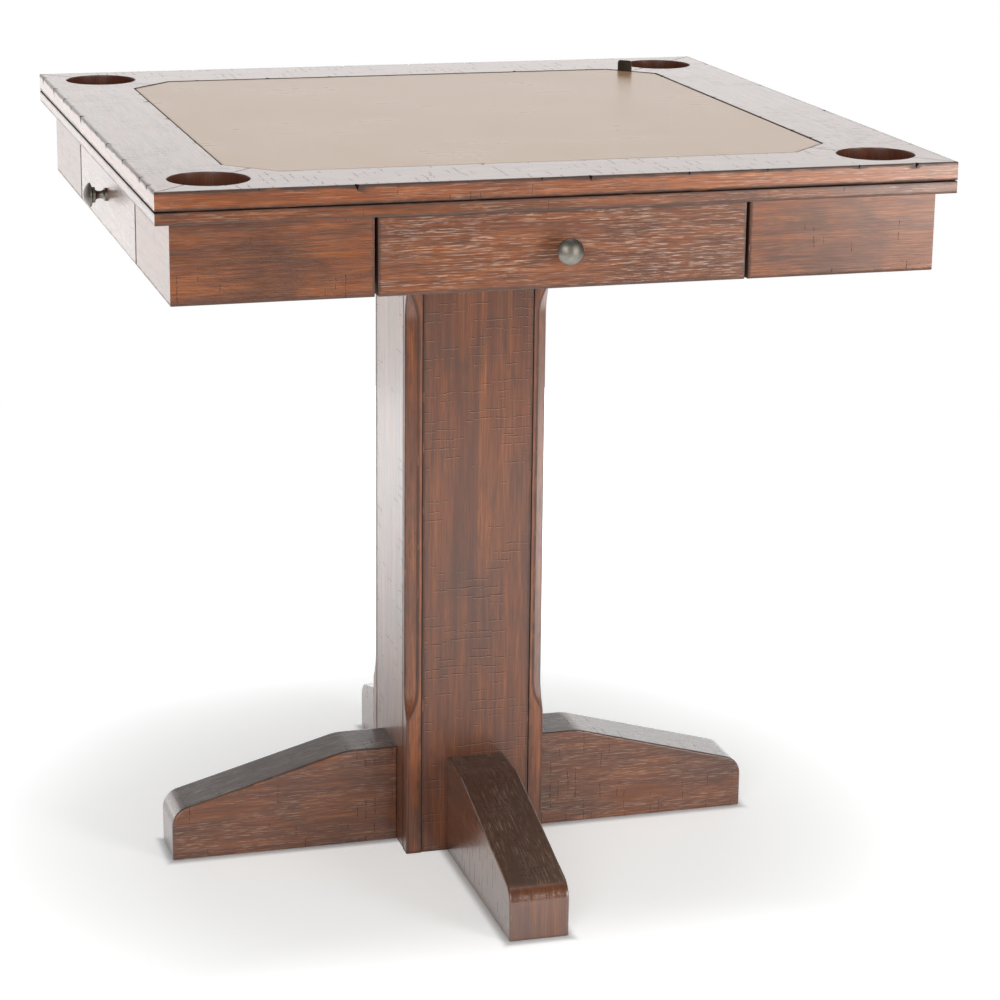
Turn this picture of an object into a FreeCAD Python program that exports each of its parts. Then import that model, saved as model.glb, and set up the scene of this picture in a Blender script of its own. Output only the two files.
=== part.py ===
"""Game table with a loose, reversible insert in its top, four drawers and a pedestal base.

The origin is on the floor under the middle of the table, +Z is up and -Y is the front.
Each repeated piece is drawn on the front side and turned about Z to the other sides.
"""
import FreeCAD
import Part
import Sketcher
import os

# Driving sizes in millimetres: name, value, what it measures.
SIZES = [
    ("table_height", 935.0, "floor to the upper face of the top frame"),
    ("top_side", 914.0, "side of the square top"),
    ("rail_thickness", 21.5, "upper layer of the top"),
    ("lower_thickness", 14.5, "lower layer of the top"),
    ("seam_chamfer", 1.5, "each half of the V-groove between the two layers"),
    ("rail_width", 101.0, "top frame from its outer edge to the opening for the insert"),
    ("opening_clip", 54.5, "leg of the opening's clipped corners"),
    ("cup_diameter", 90.0, "cup hole"),
    ("cup_inset", 71.0, "cup centre from the two outer edges"),
    ("cup_floor_thickness", 5.0, "disc that closes a cup hole"),
    ("cup_floor_rim", 6.5, "how far the disc reaches past the hole"),
    ("support_ledge", 11.0, "lower rails past the opening, up to the panel under the insert"),
    ("insert_gap", 2.2, "gap all round the insert"),
    ("insert_drop", 0.5, "playing surface below the frame"),
    ("play_thickness", 1.2, "playing surface"),
    ("tab_width", 21.0, "pull tab across"),
    ("tab_thickness", 1.2, "pull tab"),
    ("tab_rise", 14.0, "pull tab above the frame"),
    ("tab_foot", 50.0, "length of the tab's foot under the insert"),
    ("tab_shift", 9.0, "tab from the middle of the clipped corner"),
    ("tab_corner", 4.0, "rounding of the tab's upper corners"),
    ("apron_inset", 18.0, "apron behind the edge of the top"),
    ("apron_height", 91.0, "apron boards"),
    ("apron_thickness", 19.0, "apron boards and drawer fronts"),
    ("drawer_opening", 430.0, "width between the apron boards of one side"),
    ("drawer_gap", 3.2, "gap at each end of a drawer front"),
    ("drawer_head_gap", 2.0, "gap over a drawer front"),
    ("drawer_box_gap", 5.0, "gap between a drawer's side and the guide board"),
    ("drawer_back_gap", 2.0, "gap behind a drawer"),
    ("drawer_side_thickness", 12.0, "drawer sides and back"),
    ("drawer_side_height", 70.0, "drawer sides"),
    ("drawer_side_lift", 7.0, "drawer sides above the apron's lower edge"),
    ("drawer_back_drop", 4.0, "drawer back below the sides' upper edge"),
    ("dado_depth", 6.0, "grooves in a drawer front for the ends of the sides"),
    ("rabbet_depth", 4.0, "steps in the drawer sides for the ends of the back"),
    ("drawer_bottom_thickness", 6.0, "drawer bottom"),
    ("drawer_bottom_lift", 8.0, "drawer bottom above the sides' lower edge"),
    ("bottom_groove", 5.0, "depth of the grooves that hold a drawer bottom"),
    ("runner_width", 11.0, "runner strip out from the guide board"),
    ("runner_height", 12.0, "runner strip"),
    ("runner_lift", 29.0, "runner strip above the drawer sides' lower edge"),
    ("guide_thickness", 15.0, "guide boards between the drawers"),
    ("guide_lift", 10.0, "guide boards above the apron's lower edge"),
    ("corner_block_leg", 60.0, "leg of the blocks in the apron's corners"),
    ("plate_side", 300.0, "mounting plate on the column"),
    ("plate_thickness", 18.0, "mounting plate on the column"),
    ("column_width", 180.0, "square column"),
    ("post_face", 19.0, "face of a corner post up to the panel"),
    ("post_depth", 38.0, "corner post over all"),
    ("panel_thickness", 12.0, "column panel"),
    ("panel_gap", 0.6, "joint between a post and a panel"),
    ("panel_chamfer", 1.6, "eased edges of a panel, which make the dark line"),
    ("chamfer_leg", 14.0, "stopped chamfer on a post"),
    ("chamfer_foot", 180.0, "lower end of the stopped chamfer above the floor"),
    ("chamfer_head", 739.0, "upper end of the stopped chamfer above the floor"),
    ("runout_radius", 98.0, "curve of the chamfer's ends"),
    ("leg_width", 74.0, "legs"),
    ("leg_height", 128.5, "legs at the column, above the floor"),
    ("leg_reach", 382.0, "leg's end from the column's axis"),
    ("leg_flat_end", 155.0, "end of the leg's level top, from the axis"),
    ("leg_toe_height", 66.0, "leg's end above the floor, before its rounding"),
    ("leg_toe_radius", 25.0, "rounding of the leg's end"),
    ("leg_bend_radius", 70.0, "rounding between the level top and the slope"),
    ("bolt_diameter", 8.0, "leg bolts"),
    ("bolt_across", 13.0, "leg bolt heads across their flats"),
    ("bolt_head", 5.5, "height of the leg bolts' heads"),
    ("bolt_grip", 48.0, "length of a bolt inside the leg"),
    ("washer_diameter", 17.0, "washers under the leg bolts' heads"),
    ("washer_thickness", 1.6, "washers under the leg bolts' heads"),
    ("bolt_low", 38.0, "lower bolts above the floor"),
    ("bolt_high", 96.0, "upper bolts above the floor"),
    ("glide_diameter", 26.0, "glides under the legs"),
    ("glide_height", 1.4, "glides under the legs"),
    ("glide_inset", 40.0, "glide's centre from the leg's end"),
    ("glide_chamfer", 0.5, "eased lower edge of a glide"),
    ("plate_screw_diameter", 5.0, "screws of the mounting plate"),
    ("plate_screw_head", 10.0, "heads of those screws"),
    ("plate_screw_head_height", 3.0, "heads of those screws"),
    ("post_screw_depth", 40.0, "screw inside a post"),
    ("support_screw_depth", 9.0, "screw inside the support panel"),
    ("support_screw_place", 120.0, "screws into the support panel, from the axis"),
    ("knob_projection", 28.0, "knob out from the drawer front"),
    ("knob_base_diameter", 16.0, "knob's foot ring"),
    ("knob_base_thickness", 3.0, "knob's foot ring"),
    ("knob_neck_diameter", 9.0, "knob's waist"),
    ("knob_neck_flare", 2.2, "how far the neck flares at both ends"),
    ("knob_collar_diameter", 19.0, "ring under the knob's head"),
    ("knob_collar_start", 14.5, "ring from the drawer front"),
    ("knob_collar_thickness", 3.0, "ring under the knob's head"),
    ("knob_head_diameter", 29.5, "knob's head"),
    ("knob_rim", 1.8, "width of the rim round the knob's head"),
    ("knob_head_edge", 21.5, "knob's widest place from the drawer front"),
    ("knob_screw_diameter", 4.0, "screw that holds the knob"),
    ("knob_screw_depth", 11.0, "screw inside the knob"),
    ("knob_screw_head", 8.0, "head of the knob's screw"),
    ("knob_screw_head_height", 2.5, "head of the knob's screw"),
    ("slide_clearance", 0.3, "running clearance of drawers, runners and tab"),
    ("fit_clearance", 0.15, "clearance round pieces that are fitted"),
    ("overrun", 5.0, "how far a cut runs past the piece"),
]

SIDES = ["front", "right", "back", "left"]
POST_CORNERS = ["front_left", "front_right", "back_right", "back_left"]
QUARTER_TURN = 90.0
FULL_TURN = 360.0
TAB_TURN = 45.0
POST_DIAGONAL_TURN = 225.0
SAME_PLACE = 1e-5

doc = FreeCAD.newDocument("game_table")
sheet = doc.addObject("Spreadsheet::Sheet", "Sizes")
for row, (alias, value, note) in enumerate(SIZES, start=1):
    sheet.set(f"A{row}", alias)
    sheet.set(f"B{row}", str(value))
    sheet.set(f"C{row}", note)
    sheet.setAlias(f"B{row}", alias)
doc.recompute()

# Heights above the floor that several pieces share, written in the sheet's names.
TOP = "Sizes.table_height"
SEAT = f"({TOP} - Sizes.rail_thickness)"
PLAY_FOOT = f"({TOP} - Sizes.insert_drop - Sizes.play_thickness)"
TOP_UNDERSIDE = f"({SEAT} - Sizes.lower_thickness)"
APRON_FOOT = f"({TOP_UNDERSIDE} - Sizes.apron_height)"
GUIDE_FOOT = f"({APRON_FOOT} + Sizes.guide_lift)"
GUIDE_MIDDLE = f"(({GUIDE_FOOT} + {TOP_UNDERSIDE}) / 2)"
COLUMN_HEAD = f"({TOP_UNDERSIDE} - Sizes.plate_thickness)"
BASE_FOOT = "Sizes.glide_height"
BOX_FOOT = f"({APRON_FOOT} + Sizes.drawer_side_lift)"
BOX_HEAD = f"({BOX_FOOT} + Sizes.drawer_side_height)"
BOTTOM_FOOT = f"({BOX_FOOT} + Sizes.drawer_bottom_lift)"
BOTTOM_FACE = f"({BOTTOM_FOOT} + Sizes.drawer_bottom_thickness)"
RUNNER_FOOT = f"({BOX_FOOT} + Sizes.runner_lift)"
RUNNER_HEAD = f"({RUNNER_FOOT} + Sizes.runner_height)"
FRONT_HEIGHT = "(Sizes.apron_height - Sizes.drawer_head_gap)"
KNOB_HEIGHT = f"({APRON_FOOT} + {FRONT_HEIGHT} / 2)"

# Distances from the table's axis that several pieces share.
HALF_TOP = "(Sizes.top_side / 2)"
HALF_OPENING = f"({HALF_TOP} - Sizes.rail_width)"
HALF_SUPPORT = f"({HALF_OPENING} - Sizes.support_ledge)"
CUP_CENTRE = f"({HALF_TOP} - Sizes.cup_inset)"
CUP_RADIUS = "(Sizes.cup_diameter / 2)"
DISC_RADIUS = f"({CUP_RADIUS} + Sizes.cup_floor_rim)"
APRON_FACE = f"({HALF_TOP} - Sizes.apron_inset)"
APRON_BACK = f"({APRON_FACE} - Sizes.apron_thickness)"
HALF_BAY = "(Sizes.drawer_opening / 2)"
GUIDE_OUTER = f"({HALF_BAY} + Sizes.guide_thickness)"
HALF_FRONT = f"({HALF_BAY} - Sizes.drawer_gap)"
HALF_BOX = f"({HALF_BAY} - Sizes.drawer_box_gap)"
HALF_BOX_INSIDE = f"({HALF_BOX} - Sizes.drawer_side_thickness)"
BOTTOM_EDGE = f"({HALF_BOX_INSIDE} + Sizes.bottom_groove)"
BOX_BACK = f"({GUIDE_OUTER} + Sizes.drawer_back_gap)"
BOX_BACK_FACE = f"({BOX_BACK} + Sizes.drawer_side_thickness)"
BACK_END = f"({HALF_BOX_INSIDE} + Sizes.rabbet_depth)"
SIDE_FRONT = f"({APRON_BACK} + Sizes.dado_depth)"
RUNNER_EDGE = f"({HALF_BAY} - Sizes.runner_width)"
HALF_COLUMN = "(Sizes.column_width / 2)"
POST_SEAM = f"({HALF_COLUMN} - Sizes.post_face)"
PANEL_BACK = f"({HALF_COLUMN} - Sizes.panel_thickness)"
BOLT_SEAT = f"({PANEL_BACK} - Sizes.washer_thickness)"
POST_INNER = f"({HALF_COLUMN} - Sizes.post_depth)"
POST_SCREW_PLACE = f"(({PANEL_BACK} + {POST_INNER}) / 2)"
CLIP_LINE = f"(({HALF_OPENING} * 2 - Sizes.opening_clip) / sqrt(2))"

# Radii and depths of holes and of what goes into them.
TAB_BED = "(Sizes.tab_thickness + Sizes.slide_clearance)"
SCREW_RADIUS = "(Sizes.plate_screw_diameter / 2)"
SCREW_HOLE = f"({SCREW_RADIUS} + Sizes.fit_clearance)"
SCREW_HEAD_RADIUS = "(Sizes.plate_screw_head / 2)"
BOLT_RADIUS = "(Sizes.bolt_diameter / 2)"
BOLT_HOLE = f"({BOLT_RADIUS} + Sizes.fit_clearance)"
KNOB_SCREW_RADIUS = "(Sizes.knob_screw_diameter / 2)"
KNOB_SCREW_HOLE = f"({KNOB_SCREW_RADIUS} + Sizes.fit_clearance)"


def measure(expression):
    """Give the number that an expression in the sheet's names stands for."""
    return float(sheet.evalExpression(expression))


def minus(expression):
    """Give the same distance on the other side of the axis."""
    return f"(-{expression})"


def mirrored(points):
    """Give an outline's points on the other side of the sketch's upright axis."""
    return [(minus(point[0]), *point[1:]) for point in reversed(points)]


def rectangle(left, bottom, right, top):
    """Give the corners of a rectangle as an outline."""
    return [(left, bottom), (right, bottom), (right, top), (left, top)]


def new_body(label, turn=0.0):
    """Start one piece, turned about the table's axis by an angle in degrees."""
    body = doc.addObject("PartDesign::Body", label)
    body.Label = label
    body.Placement = FreeCAD.Placement(
        FreeCAD.Vector(), FreeCAD.Rotation(FreeCAD.Vector(0, 0, 1), turn)
    )
    return body


def origin_feature(body, role):
    """Find one of the body's own origin planes or axes."""
    return next(item for item in body.Origin.OriginFeatures if item.Role == role)


def new_sketch(body, role, offset=None, rise=None, turn=0.0):
    """Start a sketch on an origin plane, moved along its normal and up, and turned upright."""
    sketch = body.newObject("Sketcher::SketchObject", f"{body.Label}_sketch")
    sketch.AttachmentSupport = (origin_feature(body, role), [""])
    sketch.MapMode = "FlatFace"
    sketch.AttachmentOffset = FreeCAD.Placement(
        FreeCAD.Vector(), FreeCAD.Rotation(FreeCAD.Vector(0, 1, 0), turn)
    )
    if offset:
        sketch.setExpression("AttachmentOffset.Base.z", offset)
    if rise:
        sketch.setExpression("AttachmentOffset.Base.y", rise)
    return sketch


def bind(sketch, constraint, expression):
    """Add a constraint whose value follows the sheet."""
    index = sketch.addConstraint(constraint)
    sketch.setExpression(f"Constraints[{index}]", expression)


def bind_point(sketch, piece, end, place):
    """Hold one end of a line or arc, or a circle's centre, at a place given by expressions."""
    for kind, axis, expression in zip(("DistanceX", "DistanceY"), (-2, -1), place):
        if expression == "0":
            sketch.addConstraint(Sketcher.Constraint("PointOnObject", piece, end, axis))
        else:
            start = Sketcher.Constraint(kind, -1, 1, piece, end, measure(expression))
            bind(sketch, start, expression)


def arc_between(start, end, radius):
    """Give the short arc that runs counter-clockwise from start to end."""
    chord = end - start
    reach = (radius**2 - (chord.Length / 2) ** 2) ** 0.5
    left = FreeCAD.Vector(-chord.y, chord.x, 0).normalize()
    centre = start + chord / 2 + left * reach
    circle = Part.Circle(centre, FreeCAD.Vector(0, 0, 1), radius)
    return Part.ArcOfCircle(circle, circle.parameter(start), circle.parameter(end))


def draw_outline(sketch, points):
    """Draw a closed outline of lines and arcs.

    A point is (x, y), reached by a line, or (x, y, radius, way), reached by an arc that
    runs counter-clockwise ("ccw") or clockwise ("cw").
    """
    places = [FreeCAD.Vector(measure(point[0]), measure(point[1]), 0) for point in points]
    pieces = []
    for index, point in enumerate(points):
        before, here = places[index - 1], places[index]
        if len(point) == 2:
            shape, first, last = Part.LineSegment(before, here), 1, 2
        elif point[3] == "ccw":
            shape, first, last = arc_between(before, here, measure(point[2])), 1, 2
        else:
            shape, first, last = arc_between(here, before, measure(point[2])), 2, 1
        pieces.append((sketch.addGeometry(shape, False), first, last))
    for index, point in enumerate(points):
        piece, _, last = pieces[index]
        following, first, _ = pieces[(index + 1) % len(points)]
        sketch.addConstraint(Sketcher.Constraint("Coincident", piece, last, following, first))
        bind_point(sketch, piece, last, point[:2])
        if len(point) > 2:
            bind(sketch, Sketcher.Constraint("Radius", piece, measure(point[2])), point[2])


def draw_circle(sketch, centre, radius):
    """Draw a circle round a centre given by two expressions."""
    place = FreeCAD.Vector(measure(centre[0]), measure(centre[1]), 0)
    circle = Part.Circle(place, FreeCAD.Vector(0, 0, 1), measure(radius))
    piece = sketch.addGeometry(circle, False)
    bind_point(sketch, piece, 3, centre)
    bind(sketch, Sketcher.Constraint("Radius", piece, measure(radius)), radius)


def extrude(body, kind, sketch, length, reverse=False, both_ways=False):
    """Pad or pocket a sketch by a length given as an expression."""
    feature = body.newObject(f"PartDesign::{kind}", f"{body.Label}_{kind.lower()}")
    feature.Profile = sketch
    feature.setExpression("Length", length)
    feature.Reversed = reverse
    if both_ways:
        feature.SideType = "Symmetric"
    doc.recompute()
    return feature


def revolve(body, sketch):
    """Turn a sketch round its own level axis."""
    feature = body.newObject("PartDesign::Revolution", f"{body.Label}_turning")
    feature.Profile = sketch
    feature.ReferenceAxis = (sketch, ["H_Axis"])
    feature.Angle = FULL_TURN
    doc.recompute()
    return feature


def ring_of_four(body, features):
    """Repeat features on the four sides of the table."""
    ring = body.newObject("PartDesign::PolarPattern", f"{body.Label}_ring")
    ring.Originals = features
    ring.Axis = (origin_feature(body, "Z_Axis"), [""])
    ring.Angle = FULL_TURN
    ring.Occurrences = len(SIDES)
    body.Tip = ring
    doc.recompute()


def edges_at(body, **place):
    """Name the body's edges whose ends all lie at the given coordinates."""
    shape = body.Tip.Shape
    wanted = {axis: measure(expression) for axis, expression in place.items()}
    names = []
    for index, edge in enumerate(shape.Edges, start=1):
        ends = [vertex.Point for vertex in edge.Vertexes]
        if all(
            abs(getattr(end, axis) - value) < SAME_PLACE
            for end in ends
            for axis, value in wanted.items()
        ):
            names.append(f"Edge{index}")
    return names


def ease(body, kind, edges, size):
    """Fillet or chamfer the named edges of the body's last feature."""
    base = body.Tip
    feature = body.newObject(f"PartDesign::{kind}", f"{body.Label}_{kind.lower()}")
    feature.Base = (base, edges)
    feature.setExpression("Radius" if kind == "Fillet" else "Size", size)
    doc.recompute()


def clipped_square(half, clip):
    """Give a square's outline with its four corners clipped."""
    inner = f"({half} - {clip})"
    right = [(inner, minus(half)), (half, minus(inner)), (half, inner), (inner, half)]
    return right + mirrored(right)


def cup_pair(body, radius, height):
    """Draw the two cup circles of the front side at a height."""
    sketch = new_sketch(body, "XY_Plane", offset=height)
    for across in (CUP_CENTRE, minus(CUP_CENTRE)):
        draw_circle(sketch, (across, minus(CUP_CENTRE)), radius)
    return sketch


def top_rail(label, turn):
    """Upper rail, mitred, wider at its ends for the clipped corners, with half of two cups."""
    body = new_body(label, turn)
    sketch = new_sketch(body, "XY_Plane", offset=SEAT)
    clip_middle = f"({HALF_OPENING} - Sizes.opening_clip / 2)"
    clip_end = f"({HALF_OPENING} - Sizes.opening_clip)"
    right_half = [
        (HALF_TOP, minus(HALF_TOP)),
        (clip_middle, minus(clip_middle)),
        (clip_end, minus(HALF_OPENING)),
    ]
    draw_outline(sketch, right_half + mirrored(right_half))
    extrude(body, "Pad", sketch, "Sizes.rail_thickness")
    extrude(body, "Pocket", cup_pair(body, CUP_RADIUS, TOP), "Sizes.rail_thickness")
    ease(body, "Chamfer", edges_at(body, y=minus(HALF_TOP), z=SEAT), "Sizes.seam_chamfer")
    return body


def lower_rail(label, turn):
    """Lower rail, mitred, bored for the cups and counterbored below for their floors."""
    body = new_body(label, turn)
    sketch = new_sketch(body, "XY_Plane", offset=TOP_UNDERSIDE)
    right_half = [(HALF_TOP, minus(HALF_TOP)), (HALF_SUPPORT, minus(HALF_SUPPORT))]
    draw_outline(sketch, right_half + mirrored(right_half))
    extrude(body, "Pad", sketch, "Sizes.lower_thickness")
    extrude(body, "Pocket", cup_pair(body, CUP_RADIUS, SEAT), "Sizes.lower_thickness")
    recess = cup_pair(body, DISC_RADIUS, TOP_UNDERSIDE)
    extrude(body, "Pocket", recess, "Sizes.cup_floor_thickness", reverse=True)
    ease(body, "Chamfer", edges_at(body, y=minus(HALF_TOP), z=SEAT), "Sizes.seam_chamfer")
    return body


def support_panel(label):
    """Panel that the insert lies on, with a shallow bed for the tab's foot and pilot holes."""
    body = new_body(label)
    sketch = new_sketch(body, "XY_Plane", offset=TOP_UNDERSIDE)
    draw_outline(
        sketch, rectangle(minus(HALF_SUPPORT), minus(HALF_SUPPORT), HALF_SUPPORT, HALF_SUPPORT)
    )
    extrude(body, "Pad", sketch, "Sizes.lower_thickness")
    bed = new_sketch(body, "XY_Plane", offset=SEAT)
    bed.AttachmentOffset = FreeCAD.Placement(
        FreeCAD.Vector(), FreeCAD.Rotation(FreeCAD.Vector(0, 0, 1), TAB_TURN)
    )
    half_bed = "(Sizes.tab_width / 2 + Sizes.slide_clearance)"
    draw_outline(
        bed,
        rectangle(
            f"({CLIP_LINE} - Sizes.insert_gap - Sizes.tab_foot - Sizes.slide_clearance)",
            f"(Sizes.tab_shift - {half_bed})",
            CLIP_LINE,
            f"(Sizes.tab_shift + {half_bed})",
        ),
    )
    extrude(body, "Pocket", bed, TAB_BED)
    pilots = new_sketch(body, "XY_Plane", offset=TOP_UNDERSIDE)
    screw_corners(pilots, "Sizes.support_screw_place", SCREW_HOLE)
    depth = "(Sizes.support_screw_depth + Sizes.fit_clearance)"
    extrude(body, "Pocket", pilots, depth, reverse=True)
    return body


def screw_corners(sketch, place, radius):
    """Draw four circles at the corners of a square round the axis."""
    for across in (place, minus(place)):
        for along in (place, minus(place)):
            draw_circle(sketch, (across, along), radius)


def cup_floors(label):
    """Four discs let into the underside of the lower rails."""
    body = new_body(label)
    sketch = new_sketch(body, "XY_Plane", offset=TOP_UNDERSIDE)
    radius = f"({DISC_RADIUS} - Sizes.fit_clearance)"
    draw_circle(sketch, (minus(CUP_CENTRE), minus(CUP_CENTRE)), radius)
    disc = extrude(body, "Pad", sketch, "Sizes.cup_floor_thickness")
    ring_of_four(body, [disc])
    return body


def insert_outline(sketch):
    """Draw the insert's outline, the opening's own shape less the gap all round."""
    half = f"({HALF_OPENING} - Sizes.insert_gap)"
    clip = "(Sizes.opening_clip - Sizes.insert_gap * (2 - sqrt(2)))"
    draw_outline(sketch, clipped_square(half, clip))


def insert_board(label):
    """Board of the loose insert, lying on the support panel."""
    body = new_body(label)
    sketch = new_sketch(body, "XY_Plane", offset=SEAT)
    insert_outline(sketch)
    extrude(body, "Pad", sketch, f"({PLAY_FOOT} - {SEAT})")
    return body


def playing_surface(label):
    """Thin playing surface on the insert board."""
    body = new_body(label)
    sketch = new_sketch(body, "XY_Plane", offset=PLAY_FOOT)
    insert_outline(sketch)
    extrude(body, "Pad", sketch, "Sizes.play_thickness")
    return body


def pull_tab(label):
    """Strap with its foot under the insert and its end standing up in the corner gap."""
    body = new_body(label, TAB_TURN)
    sketch = new_sketch(body, "XZ_Plane", offset="(-Sizes.tab_shift)")
    outer = f"({CLIP_LINE} - (Sizes.insert_gap - Sizes.tab_thickness) / 2)"
    inner = f"({outer} - Sizes.tab_thickness)"
    foot_end = f"({CLIP_LINE} - Sizes.insert_gap - Sizes.tab_foot)"
    foot = f"({SEAT} - {TAB_BED})"
    foot_face = f"({foot} + Sizes.tab_thickness)"
    head = f"({TOP} + Sizes.tab_rise)"
    draw_outline(
        sketch,
        [
            (foot_end, foot),
            (outer, foot),
            (outer, head),
            (inner, head),
            (inner, foot_face),
            (foot_end, foot_face),
        ],
    )
    extrude(body, "Pad", sketch, "Sizes.tab_width", both_ways=True)
    for side in ("+", "-"):
        end = f"(Sizes.tab_shift {side} Sizes.tab_width / 2)"
        ease(body, "Fillet", edges_at(body, y=end, z=head), "Sizes.tab_corner")
    return body


def apron(label, turn):
    """The two fixed apron boards of one side, mitred at the corners."""
    body = new_body(label, turn)
    sketch = new_sketch(body, "XY_Plane", offset=APRON_FOOT)
    right_board = [
        (HALF_BAY, minus(APRON_FACE)),
        (APRON_FACE, minus(APRON_FACE)),
        (APRON_BACK, minus(APRON_BACK)),
        (HALF_BAY, minus(APRON_BACK)),
    ]
    draw_outline(sketch, right_board)
    draw_outline(sketch, mirrored(right_board))
    extrude(body, "Pad", sketch, "Sizes.apron_height")
    return body


def guide_board(label, turn, notch_mouth, board_edge):
    """Long board between the drawers, halved over the two boards that cross it."""
    body = new_body(label, turn)
    sketch = new_sketch(body, "XZ_Plane", offset=HALF_BAY)
    notch_left = f"({HALF_BAY} - Sizes.fit_clearance)"
    notch_right = f"({GUIDE_OUTER} + Sizes.fit_clearance)"
    right_half = [
        (notch_left, notch_mouth),
        (notch_left, GUIDE_MIDDLE),
        (notch_right, GUIDE_MIDDLE),
        (notch_right, notch_mouth),
        (APRON_BACK, notch_mouth),
        (APRON_BACK, board_edge),
    ]
    draw_outline(sketch, right_half + mirrored(right_half))
    extrude(body, "Pad", sketch, "Sizes.guide_thickness")
    return body


def drawer_runners(label):
    """Eight runner strips on the guide boards, two for each drawer."""
    body = new_body(label)
    sketch = new_sketch(body, "XY_Plane", offset=RUNNER_FOOT)
    strip = rectangle(RUNNER_EDGE, minus(APRON_BACK), HALF_BAY, minus(GUIDE_OUTER))
    draw_outline(sketch, strip)
    draw_outline(sketch, mirrored(strip))
    pair = extrude(body, "Pad", sketch, "Sizes.runner_height")
    ring_of_four(body, [pair])
    return body


def corner_blocks(label):
    """Four three-cornered blocks in the corners of the apron."""
    body = new_body(label)
    sketch = new_sketch(body, "XY_Plane", offset=GUIDE_FOOT)
    corner = minus(APRON_BACK)
    end = f"({corner} + Sizes.corner_block_leg)"
    draw_outline(sketch, [(corner, corner), (end, corner), (corner, end)])
    block = extrude(body, "Pad", sketch, f"({TOP_UNDERSIDE} - {GUIDE_FOOT})")
    ring_of_four(body, [block])
    return body


def mounting_plate(label):
    """Plate on the column's head, with counterbored holes for its two sets of screws."""
    body = new_body(label)
    half = "(Sizes.plate_side / 2)"
    sketch = new_sketch(body, "XY_Plane", offset=COLUMN_HEAD)
    draw_outline(sketch, rectangle(minus(half), minus(half), half, half))
    extrude(body, "Pad", sketch, "Sizes.plate_thickness")
    holes = new_sketch(body, "XY_Plane", offset=TOP_UNDERSIDE)
    screw_corners(holes, POST_SCREW_PLACE, SCREW_HOLE)
    screw_corners(holes, "Sizes.support_screw_place", SCREW_HOLE)
    extrude(body, "Pocket", holes, "Sizes.plate_thickness")
    recess_radius = f"({SCREW_HEAD_RADIUS} + Sizes.fit_clearance)"
    upper = new_sketch(body, "XY_Plane", offset=TOP_UNDERSIDE)
    screw_corners(upper, POST_SCREW_PLACE, recess_radius)
    extrude(body, "Pocket", upper, "Sizes.plate_screw_head_height")
    lower = new_sketch(body, "XY_Plane", offset=COLUMN_HEAD)
    screw_corners(lower, "Sizes.support_screw_place", recess_radius)
    extrude(body, "Pocket", lower, "Sizes.plate_screw_head_height", reverse=True)
    return body


def plate_screws(label):
    """Four screws down into the posts and four up into the support panel."""
    body = new_body(label)
    shank = "(Sizes.plate_thickness - Sizes.plate_screw_head_height)"
    pads = []
    for place, head_height, down, depth in (
        (POST_SCREW_PLACE, TOP_UNDERSIDE, True, "Sizes.post_screw_depth"),
        ("Sizes.support_screw_place", COLUMN_HEAD, False, "Sizes.support_screw_depth"),
    ):
        centre = (minus(place), minus(place))
        head = new_sketch(body, "XY_Plane", offset=head_height)
        draw_circle(head, centre, SCREW_HEAD_RADIUS)
        pads.append(extrude(body, "Pad", head, "Sizes.plate_screw_head_height", reverse=down))
        sign = "-" if down else "+"
        shoulder = f"({head_height} {sign} Sizes.plate_screw_head_height)"
        stem = new_sketch(body, "XY_Plane", offset=shoulder)
        draw_circle(stem, centre, SCREW_RADIUS)
        pads.append(extrude(body, "Pad", stem, f"({shank} + {depth})", reverse=down))
    ring_of_four(body, pads)
    return body


def column_post(label, turn):
    """Corner post, rebated for two panels, with a stopped chamfer that runs out in curves."""
    body = new_body(label, turn)
    sketch = new_sketch(body, "XY_Plane", offset=BASE_FOOT)
    face, seam, back, inner = (
        minus(HALF_COLUMN),
        minus(POST_SEAM),
        minus(PANEL_BACK),
        minus(POST_INNER),
    )
    draw_outline(
        sketch,
        [
            (face, face),
            (seam, face),
            (seam, back),
            (inner, back),
            (inner, inner),
            (back, inner),
            (back, seam),
            (face, seam),
        ],
    )
    extrude(body, "Pad", sketch, f"({COLUMN_HEAD} - {BASE_FOOT})")
    cutter = new_sketch(body, "XZ_Plane", turn=POST_DIAGONAL_TURN)
    arris = f"({HALF_COLUMN} * sqrt(2))"
    depth = "(Sizes.chamfer_leg / sqrt(2))"
    runout = f"sqrt(2 * Sizes.runout_radius * {depth} - {depth}^2)"
    beyond = f"({arris} + Sizes.overrun)"
    floor = f"({arris} - {depth})"
    draw_outline(
        cutter,
        [
            (beyond, "Sizes.chamfer_foot"),
            (beyond, "Sizes.chamfer_head"),
            (arris, "Sizes.chamfer_head"),
            (floor, f"(Sizes.chamfer_head - {runout})", "Sizes.runout_radius", "ccw"),
            (floor, f"(Sizes.chamfer_foot + {runout})"),
            (arris, "Sizes.chamfer_foot", "Sizes.runout_radius", "ccw"),
        ],
    )
    extrude(body, "Pocket", cutter, "Sizes.column_width", both_ways=True)
    pilot = new_sketch(body, "XY_Plane", offset=COLUMN_HEAD)
    draw_circle(pilot, (minus(POST_SCREW_PLACE), minus(POST_SCREW_PLACE)), SCREW_HOLE)
    extrude(body, "Pocket", pilot, "(Sizes.post_screw_depth + Sizes.fit_clearance)")
    return body


def bolt_circles(body, offset, radius):
    """Draw the two bolt circles of the front leg on an upright plane."""
    sketch = new_sketch(body, "XZ_Plane", offset=offset)
    for height in ("Sizes.bolt_low", "Sizes.bolt_high"):
        draw_circle(sketch, ("0", height), radius)
    return sketch


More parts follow.
